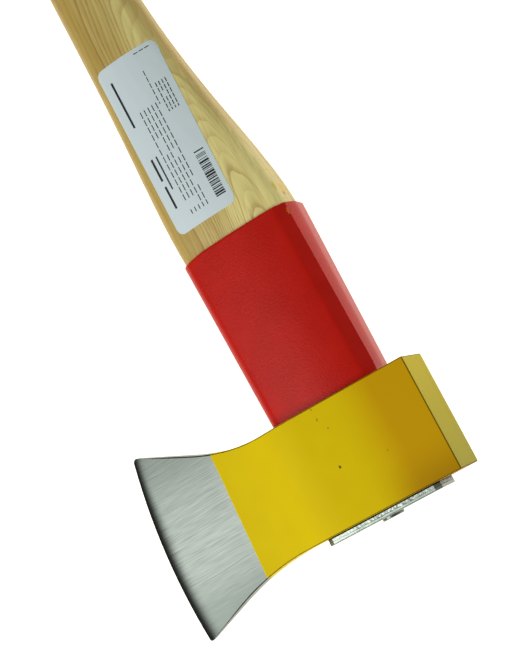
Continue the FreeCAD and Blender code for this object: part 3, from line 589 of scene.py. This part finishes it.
def sleeve_row(x, depth, creep):
    """One ring of the sleeve. creep is how much of the nose's trim the ring takes."""
    if x > UNDERSIDE_X:
        section = eye
    else:
        down_share = (UNDERSIDE_X - x) / (UNDERSIDE_X - mouth_x)
        loft = blend_sections(below, mouth, down_share)
        section = blend_sections(eye, loft, min(1.0, (UNDERSIDE_X - x) / FLARE_REACH) ** 0.5)
    row = []
    for y, z in inset_section(section, depth):
        nose_near = max(0.0, (NOSE_FROM - y) / NOSE_SPAN)
        row.append((x + NOSE_TRIM * nose_near * creep, y + EYE_MIDDLE_Y, z + mid_z))
    return row


# Down the outside, round the lip and up the inside: how far along, and how deep in the sheet.
lip = WALL / 2
rail = [(top_x, 0.0)]
for i in range(1, EYE_RINGS + 1):
    rail.append((top_x + (UNDERSIDE_X - top_x) * i / EYE_RINGS, 0.0))
for i in range(1, FLANK_RINGS + 1):
    rail.append((UNDERSIDE_X + (mouth_x + lip - UNDERSIDE_X) * (i / FLANK_RINGS), 0.0))
for i in range(1, LIP_STEPS + 1):
    turn = math.pi * i / LIP_STEPS
    rail.append((mouth_x + lip * (1 - math.sin(turn)), lip * (1 - math.cos(turn))))
for i in range(1, INNER_RINGS + 1):
    rail.append((mouth_x + lip + (top_x - mouth_x - lip) * i / INNER_RINGS, WALL))
rows = [sleeve_row(x, depth, max(0.0, 1 - (x - mouth_x) / TRIM_REACH) ** 2) for x, depth in rail]
sleeve = net_mesh("guard_sleeve", rows, closed_rows=True)
sleeve.data.materials.append(red_enamel)
crisp(sleeve, 60)
mount(sleeve, "sleeve_enamel", "steel_sleeve")

# ---- Head ---------------------------------------------------------------------------------------
# Drop-forged steel, trimmed and sprayed with yellow enamel, with the bit ground bright afterwards.
# The grinding stops on a line across the cheek, and its marks fan out square to the cutting edge.
YELLOW, YELLOW_WARM, YELLOW_POLL_SHADED = "#E5CB00", "#CF9F00", "#C9B306"
YELLOW_CORNER_SHADE, POLL_SHADE, YELLOW_ARRIS_SHADE = "#A67A02", "#98901C", "#5E4206"
STEEL, STEEL_DARK, STEEL_ENDS_SHADE = "#868D86", "#6A716A", "#5C635D"
STEEL_EDGE_SHADE, STEEL_ARRIS_SHADE = "#191C1A", "#121412"
ENAMEL_ROUGHNESS, STEEL_ROUGHNESS = 0.5, 0.4
MARKS_FROM, MARKS_RADIUS = (270.0, 1390.0), 1457.0  # mm: the belt's marks are arcs round a far point
POLL_Y = 83.5                       # mm: the poll face
BORDER = (311.4, -35.0, -0.0475)    # mm: a point on the line where the paint stops, and its slope
EDGE_CENTRE, EDGE_RADIUS = (330.46, 246.5), 330.0  # mm: the cutting edge is an arc
BIT_SLOPE, EDGE_SLOPE = math.radians(4.2), math.radians(28.0)
ROLL = 12.0                         # mm from the edge over which the bevel is blended in
FLAT_FACE = 0.75                    # how squarely a face looks up or down to count as a cheek

enamel_name = "yellow_enamel_and_ground_steel"
head_finish, tree, shader, mm, x, y, z = start_finish(enamel_name, ENAMEL_ROUGHNESS, specular=0.05)
wander = add(tree, NOISE, (mm, 1 / 6, 3.0))
line_y = add(tree, MATH, (x, BORDER[2], BORDER[1] - BORDER[0] * BORDER[2]), "MULTIPLY_ADD")
line = add(tree, MATH, (wander, 0.5, line_y), "MULTIPLY_ADD")
past = add(tree, MATH, (y, line), "SUBTRACT")
bare = add(tree, RANGE, (past, 0.15, -0.15))
warm = add(tree, RANGE, (y, 36.0, 72.0), **SMOOTH)
mottle = add(tree, NOISE, (mm, 1 / 14, 3.0))
warmer = add(tree, MATH, (mottle, 0.25, warm), "MULTIPLY_ADD", use_clamp=True)
yellow = add(tree, MIX, (warmer, YELLOW, YELLOW_WARM))
on_poll = add(tree, RANGE, (y, POLL_Y - 0.6, POLL_Y - 0.1))
# The corner of the cheek by the poll and the crown is darkened as painted shade.
low_corner = add(tree, RANGE, (x, 318.0, 352.0), **SMOOTH)
corner_shade = add(tree, MATH, (low_corner, warm), "MULTIPLY")
yellow = add(tree, MIX, (corner_shade, yellow, YELLOW_CORNER_SHADE))
# The poll face has its own yellows, a shaded copy of the enamel: painted shade, darker towards the crown.
poll_run = add(tree, RANGE, (x, 270.0, 359.0))
poll = add(tree, MIX, (poll_run, YELLOW_POLL_SHADED, POLL_SHADE))
yellow = add(tree, MIX, (on_poll, yellow, poll))
HEAD_MARKS = [  # chips and rubs on the upper cheek
    ((312.7, 29.6, 38.2), 0.9, 0.6, "#3E3410", 0.9),
    ((316.6, 55.3, 38.2), 0.7, 0.7, "#A09A10", 0.5),
    ((281.2, 30.1, 38.2), 0.7, 0.5, "#A8862A", 0.7),
    ((286.9, 30.4, 38.2), 0.9, 0.5, "#A8862A", 0.7),
    ((293.0, 33.5, 38.2), 0.7, 0.5, "#A8862A", 0.7),
]
yellow = lay_marks(tree, mm, yellow, HEAD_MARKS)
belt_x = add(tree, MATH, (x, MARKS_FROM[0]), "SUBTRACT")
belt_y = add(tree, MATH, (MARKS_FROM[1], y), "SUBTRACT")
turn = add(tree, MATH, (belt_x, belt_y), operation="ARCTAN2")
across = add(tree, MATH, (turn, MARKS_RADIUS), "MULTIPLY")
mark_place = add(tree, JOIN_XYZ, (across, y, z))
long_marks = streaks(tree, mark_place, 0.42, 34, 2.0)
short_marks = streaks(tree, mark_place, 0.36, 12, 1.0)
marks = add(tree, MATH, (long_marks, short_marks), "ADD")
mark_tone = add(tree, RANGE, (marks, 0.68, 1.32))
steel = add(tree, MIX, (mark_tone, STEEL, STEEL_DARK))
# The two ends of the bit are darkened as painted shade.
heel_end = add(tree, RANGE, {0: x, 1: 296.0, 2: 257.0, 4: 0.5}, **SMOOTH)
toe_end = add(tree, RANGE, {0: x, 1: 315.0, 2: 358.0, 4: 0.8}, **SMOOTH)
bit_end_shade = add(tree, MATH, (heel_end, toe_end), "MAXIMUM")
steel = add(tree, MIX, (bit_end_shade, steel, STEEL_ENDS_SHADE))
off_x = add(tree, MATH, (x, EDGE_CENTRE[0]), "SUBTRACT")
off_y = add(tree, MATH, (EDGE_CENTRE[1], y), "SUBTRACT")
off_2 = add(tree, MATH, (off_x, off_x), "MULTIPLY")
off_both = add(tree, MATH, (off_y, off_y, off_2), "MULTIPLY_ADD")
from_centre = add(tree, MATH, (off_both,), "SQRT")
from_edge = add(tree, MATH, (EDGE_RADIUS, from_centre), "SUBTRACT")
# Towards the cutting edge the steel is darkened to near black: a painted dark reflection.
edge_shade_reach = add(tree, RANGE, (x, 262.0, 300.0, 6.0, 11.0), **SMOOTH)
edge_shade = add(tree, RANGE, (from_edge, edge_shade_reach, 0.3), **SMOOTH)
edge_shade = add(tree, MATH, (edge_shade, 1.25), "POWER")
steel = add(tree, MIX, (edge_shade, steel, STEEL_EDGE_SHADE))
# A dark line along every arris, where the face turns off the cheek or the poll: painted shade on the
# rounded edges.
facing = add(tree, SPLIT_XYZ, (add(tree, "ShaderNodeNewGeometry").outputs["Normal"],))
side_on = add(tree, MATH, (facing.outputs["X"],), "ABSOLUTE")
side_in = add(tree, RANGE, (side_on, 0.15, 0.4))
side_out = add(tree, RANGE, (side_on, 0.92, 0.75))
side_arris = add(tree, MATH, (side_in, side_out), "MULTIPLY")
poll_in = add(tree, RANGE, (facing.outputs["Y"], 0.15, 0.4))
poll_out = add(tree, RANGE, (facing.outputs["Y"], 0.95, 0.8))
poll_arris = add(tree, MATH, (poll_in, poll_out), "MULTIPLY")
by_poll = add(tree, MATH, (y, 80.0), "GREATER_THAN")
poll_arris = add(tree, MATH, (poll_arris, by_poll), "MULTIPLY")
behind_bit = add(tree, RANGE, (from_edge, 8.0, 12.0))
side_arris = add(tree, MATH, (side_arris, behind_bit), "MULTIPLY")
arris = add(tree, MATH, (side_arris, poll_arris), "MAXIMUM")
arris = add(tree, MATH, (arris, 0.85), "MULTIPLY")
yellow = add(tree, MIX, (arris, yellow, YELLOW_ARRIS_SHADE))
steel = add(tree, MIX, (arris, steel, STEEL_ARRIS_SHADE))
both = add(tree, MIX, (bare, yellow, steel))
gloss = add(tree, RANGE, {0: bare, 3: ENAMEL_ROUGHNESS, 4: STEEL_ROUGHNESS})
mark_height = add(tree, MATH, (marks, bare), "MULTIPLY")
bump = add(tree, "ShaderNodeBump", {"Strength": 0.2, "Distance": 0.06 * MM, "Height": mark_height})
feed(tree, shader, {"Base Color": both, "Metallic": bare, "Roughness": gloss, "Normal": bump})

head = loose_copy("axe_head")
head.name = head.data.name = "forged_head"
head.data.materials.clear()
head.data.materials.append(head_finish)
crisp(head, 32)
flats = head.modifiers.new("flat_faces", "WEIGHTED_NORMAL")
flats.keep_sharp = True
weighted = bpy.data.meshes.new_from_object(head.evaluated_get(bpy.context.evaluated_depsgraph_get()))
head.modifiers.remove(flats)
weighted.name = "forged_head"
head.data = weighted


def rolled_normal(place, side):
    """Which way the ground cheek faces at a point near the edge: it rolls from the cheek's slope
    to the edge's with no line between."""
    out = Vector((place.x / MM - EDGE_CENTRE[0], place.y / MM - EDGE_CENTRE[1]))
    share = max(0.0, 1 - (EDGE_RADIUS - out.length) / ROLL)
    slope = BIT_SLOPE + (EDGE_SLOPE - BIT_SLOPE) * min(1.0, share) ** 2
    out.normalize()
    return Vector((out.x * math.sin(slope), out.y * math.sin(slope), side * math.cos(slope)))


normals = [corner.vector.copy() for corner in weighted.corner_normals]
for face in weighted.polygons:
    if abs(face.normal.z) < FLAT_FACE:
        continue
    for corner in face.loop_indices:
        place = weighted.vertices[weighted.loops[corner].vertex_index].co
        deep = EDGE_RADIUS - math.hypot(place.x / MM - EDGE_CENTRE[0], place.y / MM - EDGE_CENTRE[1])
        if deep < ROLL:
            normals[corner] = rolled_normal(place, math.copysign(1.0, face.normal.z))
weighted.normals_split_custom_set(normals)
mount(head, "head_enamel", "axe_head")

# ---- Safety plate -------------------------------------------------------------------------------
# A 3.8 mm plate sheared from steel strip, countersunk and bright zinc plated. Shearing leaves a
# smooth band by its top face and a torn, speckled one below. It covers the eye and the wood in it.
ZINC, ZINC_DULL, ZINC_PIT_AND_SHADE = "#C6D2C6", "#AAB6AC", "#626C64"
ZINC_END_SHADE, ZINC_JOINT_SHADOW = "#7E8280", "#121517"
PLATE_CORNER = 3.2                  # mm clipped off each corner
PLATE_PITCH = 0.5                   # mm between points round the plate
HOLE_R, COUNTERSINK_R, SHANK_DEPTH = 3.1, 5.6, 1.0
ROLLED_EDGE = 0.35                  # mm, where the shear pulled the top face down
TORN_SHARE = 0.6                    # of the thickness
TEAR, TEAR_STOP = 0.16, 0.12        # mm: how deep the tears go, and where they stop above the base
CREASE = 0.05                       # mm between the two rings that keep a corner crisp
COUNTERSINK_STOP, BASE_INSET = 0.03, 0.3  # mm: short of the top face, and in from the torn side
DARK_FROM, DARK_FULL = 0.75, 0.5    # DARK_FROM, DARK_FULL = 0.75, 0.5 # mm below the top face: where the painted shade on the rolled edge starts
JOINT_SHADOW_END, JOINT_SHADOW_FULL = 0.9, 0.6  # JOINT_SHADOW_END, JOINT_SHADOW_FULL = 0.9, 0.6 # mm above the head: how far up the painted shadow in the joint reaches

zinc, tree, shader, mm, x, y, z = start_finish("bright_zinc_plate", roughness=0.35, metallic=1.0)
low, high = (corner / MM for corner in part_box("safety_plate"))
speckle = add(tree, NOISE, (mm, 1 / 0.8, 2.0))
cloud = add(tree, NOISE, (mm, 1 / 5, 2.0))
cloud_tone = add(tree, RANGE, (cloud, 0.35, 0.65))
clean = add(tree, MIX, (cloud_tone, ZINC, ZINC_DULL))
torn_x = low.x + (high.x - low.x) * TORN_SHARE
torn = add(tree, RANGE, (x, torn_x + 0.1, torn_x - 0.1))
pit = add(tree, RANGE, (speckle, 0.47, 0.36))
pit_share = add(tree, RANGE, (y, low.y, high.y, 0.15, 1.0))
torn_pits = add(tree, MATH, (torn, pit_share), "MULTIPLY")
pitted = add(tree, MATH, (pit, torn_pits), "MULTIPLY")
colour = add(tree, MIX, (pitted, clean, ZINC_PIT_AND_SHADE))
# The cropped ends are darkened as painted shade, their torn band darkest, and a painted shadow lies in
# the joint between plate and head.
facing = add(tree, SPLIT_XYZ, (add(tree, "ShaderNodeNewGeometry").outputs["Normal"],))
end_on = add(tree, MATH, (facing.outputs["Y"],), "ABSOLUTE")
end_shade = add(tree, RANGE, (end_on, 0.4, 0.6))
end_shade_tone = add(tree, MIX, (torn, ZINC_END_SHADE, ZINC_PIT_AND_SHADE))
colour = add(tree, MIX, (end_shade, colour, end_shade_tone))
# The rolled edge by the top face is darkened as painted shade.
off_top = add(tree, RANGE, {0: facing.outputs["X"], 1: 0.97, 2: 0.85, 4: 0.8})
by_edge = add(tree, RANGE, (x, high.x - DARK_FROM, high.x - DARK_FULL))
rolled = add(tree, MATH, (off_top, by_edge), "MULTIPLY")
colour = add(tree, MIX, (rolled, colour, ZINC_PIT_AND_SHADE))
# A painted shadow darkens the plate's foot where it meets the head.
joint = add(tree, RANGE, (x, low.x + JOINT_SHADOW_END, low.x + JOINT_SHADOW_FULL))
colour = add(tree, MIX, (joint, colour, ZINC_JOINT_SHADOW))
bump = add(tree, "ShaderNodeBump", {"Strength": 0.3, "Distance": 0.04 * MM, "Height": speckle})
feed(tree, shader, {"Base Color": colour, "Normal": bump})


def plate_outline(inset):
    """The plate's outline with its clipped corners, moved in by inset, as evenly spaced (y, z)."""
    y0, y1, z0, z1 = low.y + inset, high.y - inset, low.z + inset, high.z - inset
    clip = PLATE_CORNER - inset * (2 - math.sqrt(2))
    corners = [(y1, z0 + clip), (y1, z1 - clip), (y1 - clip, z1), (y0 + clip, z1),
               (y0, z1 - clip), (y0, z0 + clip), (y0 + clip, z0), (y1 - clip, z0)]
    points = []
    for (ya, za), (yb, zb), steps in zip(corners, corners[1:] + corners[:1], PLATE_STEPS):
        points += [(ya + (yb - ya) * i / steps, za + (zb - za) * i / steps) for i in range(steps)]
    return points


plate_width, plate_length = high.z - low.z, high.y - low.y
side_steps = [round((side - 2 * PLATE_CORNER) / PLATE_PITCH) for side in (plate_width, plate_length)]
clip_steps = round(PLATE_CORNER * math.sqrt(2) / PLATE_PITCH)
PLATE_STEPS = [side_steps[0], clip_steps, side_steps[1], clip_steps] * 2
screw_low, screw_high = (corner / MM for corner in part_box("safety_screw"))
hole_y, hole_z = (screw_low.y + screw_high.y) / 2, (screw_low.z + screw_high.z) / 2


def plate_ring(x, share, radius, inset=0.0, tear=0.0):
    """One ring of the plate: share 0 is a circle round the hole, 1 the outline moved in by inset."""
    ring = []
    for y, z in plate_outline(inset):
        turn = math.atan2(z - hole_z, y - hole_y)
        round_y, round_z = hole_y + radius * math.cos(turn), hole_z + radius * math.sin(turn)
        at_y, at_z = round_y + (y - round_y) * share, round_z + (z - round_z) * share
        if tear:
            rough = 0.25 + 0.75 * (y - low.y) / plate_length  # the bit's end tore the least
            depth = tear * rough * (0.5 + noise.noise(Vector((x / 1.6, y / 0.7, z / 0.7))))
            out = math.hypot(at_y - hole_y, at_z - hole_z)
            at_y -= (at_y - hole_y) / out * depth
            at_z -= (at_z - hole_z) / out * depth
        ring.append((x, at_y, at_z))
    return ring


rows = [plate_ring(low.x + (SHANK_DEPTH - CREASE) * i / 3, 0.0, HOLE_R) for i in range(4)]
countersink_depth = high.x - low.x - SHANK_DEPTH - COUNTERSINK_STOP
for i in range(7):  # up the countersink
    rise = i / 6
    radius = HOLE_R + (COUNTERSINK_R - HOLE_R) * rise
    rows.append(plate_ring(low.x + SHANK_DEPTH + countersink_depth * rise, 0.0, radius))
rows += [plate_ring(high.x, i / 14, COUNTERSINK_R + CREASE, ROLLED_EDGE) for i in range(15)]
for i in range(1, 5):  # over the rolled edge
    turn = math.pi / 2 * i / 4
    ring_x = high.x - ROLLED_EDGE * (1 - math.cos(turn))
    rows.append(plate_ring(ring_x, 1.0, 0.0, ROLLED_EDGE * (1 - math.sin(turn))))
rolled_x = high.x - ROLLED_EDGE
rows += [plate_ring(rolled_x - (rolled_x - torn_x) * i / 4, 1.0, 0.0) for i in range(1, 5)]
for i in range(1, 10):  # down the torn band
    ring_x = torn_x + (low.x + TEAR_STOP - torn_x) * i / 9
    rows.append(plate_ring(ring_x, 1.0, 0.0, CREASE, TEAR))
rows += [plate_ring(low.x, 1 - i / 12, HOLE_R + CREASE, BASE_INSET) for i in range(13)]
plate = net_mesh("sheared_plate", rows, closed_rows=True)
plate.data.materials.append(zinc)
crisp(plate, 30)
mount(plate, "zinc_plated_steel", "safety_plate")

# ---- Safety screw -------------------------------------------------------------------------------
# A coarse wood screw with a raised countersunk head and a 5 mm hexagon socket, cold headed, rolled
# and zinc plated with the plate. It goes through the plate into the end of the handle.
SCREW_HEAD_R, SCREW_EDGE, SEAT_R = 6.0, 0.5, 5.5  # mm, as the next four lines are
SHANK_R, CONE_DEPTH, PLAIN_LENGTH = 3.0, 2.8, 14.0
THREAD_R, THREAD_DEPTH, THREAD_PITCH, THREAD_CREST, TIP_LENGTH = 3.8, 1.1, 3.0, 0.5, 7.0
KEY_R, KEY_DEPTH = 2.5, 2.6
KEY_CHAMFER, KEY_LIP, RIM = 0.62, 0.75, 0.04  # the round lip clears the hexagon's corners
THREAD_STEPS, TIP_STEPS = 150, 30
ROUND, THREADED, SOCKET = 0.0, 1.0, 2.0  # a rail point's kind

top_x, plate_top, tip_x = screw_high.x, high.x, screw_low.x
root_r = THREAD_R - THREAD_DEPTH
thread_x, point_x = low.x - PLAIN_LENGTH, tip_x + TIP_LENGTH
# The lathe's rail, from the floor of the socket round the head and down to the point: each point
# holds how far along the screw it is, its radius, and whether it is round, threaded or a hexagon.
floor_x, flat_r = top_x - KEY_DEPTH, SCREW_HEAD_R - SCREW_EDGE
rail = [(floor_x, KEY_R * share, SOCKET) for share in (0.0, 0.3, 0.65, 0.97)]
rail += [(floor_x + KEY_DEPTH * share, KEY_R, SOCKET) for share in (0.02, 0.3, 0.6, 0.88)]
rail += [(top_x - CREASE, KEY_R + KEY_CHAMFER, ROUND)]
for share in (0.0, 0.5, 1.0):  # out over the head's flat top
    rail.append((top_x, KEY_R + KEY_LIP + (flat_r - KEY_R - KEY_LIP) * share, ROUND))
for i in range(1, 6):  # over its rim
    turn = math.pi / 2 * i / 5
    rim_x = top_x - SCREW_EDGE * (1 - math.cos(turn))
    rail.append((rim_x, SCREW_HEAD_R - SCREW_EDGE * (1 - math.sin(turn)), ROUND))
rail += [(plate_top + RIM, SCREW_HEAD_R, ROUND), (plate_top, SCREW_HEAD_R - RIM, ROUND)]
rail += [(plate_top, SEAT_R, ROUND)]
for share in (0.03, 0.5, 1.0):  # down the cone
    rail.append((plate_top - CONE_DEPTH * share, SEAT_R + (SHANK_R - SEAT_R) * share, ROUND))
plain = thread_x - plate_top + CONE_DEPTH
rail += [(plate_top - CONE_DEPTH + plain * i / 6, SHANK_R, ROUND) for i in range(1, 7)]
for i in range(1, THREAD_STEPS + 1):
    at = thread_x + (point_x - thread_x) * i / THREAD_STEPS
    rail.append((at, root_r + (SHANK_R - root_r) * max(0.0, 1 - i / 6), min(1.0, i / 12) * THREADED))
for i in range(1, TIP_STEPS + 1):
    left = 1 - i / TIP_STEPS
    rail.append((tip_x + TIP_LENGTH * left, root_r * left**0.8, left**0.5 * THREADED))
rail_mesh = bpy.data.meshes.new("screw_rail")
rail_mesh.from_pydata([[c * MM for c in point] for point in rail], [], [])
rail_guide = stand("screw_rail", rail_mesh)
flank_foot = THREAD_CREST / 2 + THREAD_DEPTH * math.tan(math.radians(25))
screw_inputs = {
    "Rail": rail_guide,
    "Rings": len(rail),
    "Round": 73,
    "Middle y": hole_y * MM,
    "Middle z": hole_z * MM,
    "Pitch": THREAD_PITCH * MM,
    "Depth": THREAD_DEPTH * MM,
    "Half crest": THREAD_CREST / 2 * MM,
    "Half foot": flank_foot * MM,
}
# The screw's tree: a ring for each point of the rail, swept round, with the thread's ridge added
# where the turn and the place along the screw say, and six flats where the rail says socket.
tree, given = make_tree("screw_lathe", screw_inputs)
guide, grid, where, row, column = start_net(tree, given["Rail"], given["Rings"], given["Round"])
last = add(tree, MATH, (given["Rings"], 1.0), "SUBTRACT")
share = add(tree, MATH, (row, 0.5), "ADD")
ring = add(tree, MATH, (share, last), "MULTIPLY")
ring = add(tree, MATH, (ring,), "ROUND")
sample = {"Geometry": guide, "Value": where, "Index": ring}
point = add(tree, "GeometryNodeSampleIndex", sample, data_type="FLOAT_VECTOR")
along, radius, kind = add(tree, SPLIT_XYZ, (point,)).outputs
kind = add(tree, MATH, (kind, 1 / MM), "MULTIPLY")
turn = add(tree, MATH, (column, 2 * math.pi), "MULTIPLY")
climb = add(tree, MATH, (column, given["Pitch"], along), "MULTIPLY_ADD")
half_pitch = add(tree, MATH, (given["Pitch"], 0.5), "MULTIPLY")
less_half = add(tree, MATH, (half_pitch, -1.0), "MULTIPLY")
off_crest = add(tree, MATH, (climb, half_pitch, less_half), "WRAP")
off_crest = add(tree, MATH, (off_crest,), "ABSOLUTE")
ridge = add(tree, RANGE, {0: off_crest, 1: given["Half foot"], 2: given["Half crest"], 4: given["Depth"]})
ridge_share = add(tree, MATH, (kind, THREADED), "MINIMUM")
threaded = add(tree, MATH, (ridge, ridge_share, radius), "MULTIPLY_ADD")
folded = add(tree, MATH, (turn, math.pi / 6, -math.pi / 6), "WRAP")
narrow = add(tree, MATH, (folded,), "COSINE")
flat = add(tree, MATH, (radius, narrow), "DIVIDE")
is_socket = add(tree, "FunctionNodeCompare", {"A": kind, "B": 1.5}, "GREATER_THAN")
reach = add(tree, "GeometryNodeSwitch", (is_socket, threaded, flat), input_type="FLOAT")
cosine = add(tree, MATH, (turn,), "COSINE")
sine = add(tree, MATH, (turn,), "SINE")
out_y = add(tree, MATH, (reach, cosine, given["Middle y"]), "MULTIPLY_ADD")
out_z = add(tree, MATH, (reach, sine, given["Middle z"]), "MULTIPLY_ADD")
goal = add(tree, JOIN_XYZ, (along, out_y, out_z))
turned = add(tree, "GeometryNodeSetPosition", {"Geometry": grid, "Position": goal})
welded = add(tree, "GeometryNodeMergeByDistance", {"Geometry": turned, "Distance": 0.004 * MM})
close_tree(tree, welded, zinc)
screw = run_tree(tree, screw_inputs, "socket_screw", zinc)
bpy.data.objects.remove(rail_guide)
crisp(screw, 35)
mount(screw, "zinc_plated_steel", "safety_screw")

# ---- Floor, light and camera --------------------------------------------------------------------
# The axe lies on its side on a white light table. One large soft box stands beyond the cutting edge,
# the room is dim, and the camera looks down past the poll.
table, tree, shader, mm, x, y, z = start_finish("white_acrylic_table", roughness=0.9)
feed(tree, shader, {
    "Base Color": (0.25, 0.25, 0.25, 1.0),
    "Emission Color": (1.0, 0.97, 0.86, 1.0),  # a slightly warm lamp
    "Emission Strength": 1.3})
bpy.ops.mesh.primitive_plane_add(size=6.0)
floor = bpy.context.object
floor.name = "floor"
floor.data.materials.append(table)

room = bpy.data.worlds.new("dim_room")
room.use_nodes = True
feed(room.node_tree, room.node_tree.nodes["Background"], ((1.0, 1.0, 1.0, 1.0), 0.25))
bpy.context.scene.world = room

SOFT_BOXES = {  # metres: where it stands, what it points at, its width and height, its watts
    "key_box": ((0.65, -0.68, 0.89), (0.65, 0.0, 0.02), (1.1, 0.7), 10.6),
    "back_box": ((0.2, 1.05, 0.38), (0.2, 0.0, 0.02), (1.7, 0.4), 1.0),
}
for name, (place, target, (width, height), watts) in SOFT_BOXES.items():
    lamp = bpy.data.lights.new(name, "AREA")
    lamp.shape = "RECTANGLE"
    lamp.size, lamp.size_y = width, height
    lamp.energy = watts
    box = stand(name, lamp)
    box.location = place
    box.rotation_euler = (Vector(target) - Vector(place)).to_track_quat("-Z", "Y").to_euler()

lens = bpy.data.cameras.new("camera")
lens.lens = 96.58
lens.sensor_width = 36.0
camera = stand("camera", lens)
camera.location = (0.3525, 0.28671, 0.86318)
camera.rotation_euler = [math.radians(a) for a in (-1.4459, 19.2458, 60.6962)]
bpy.context.scene.camera = camera
bpy.context.scene.view_settings.view_transform = "Standard"
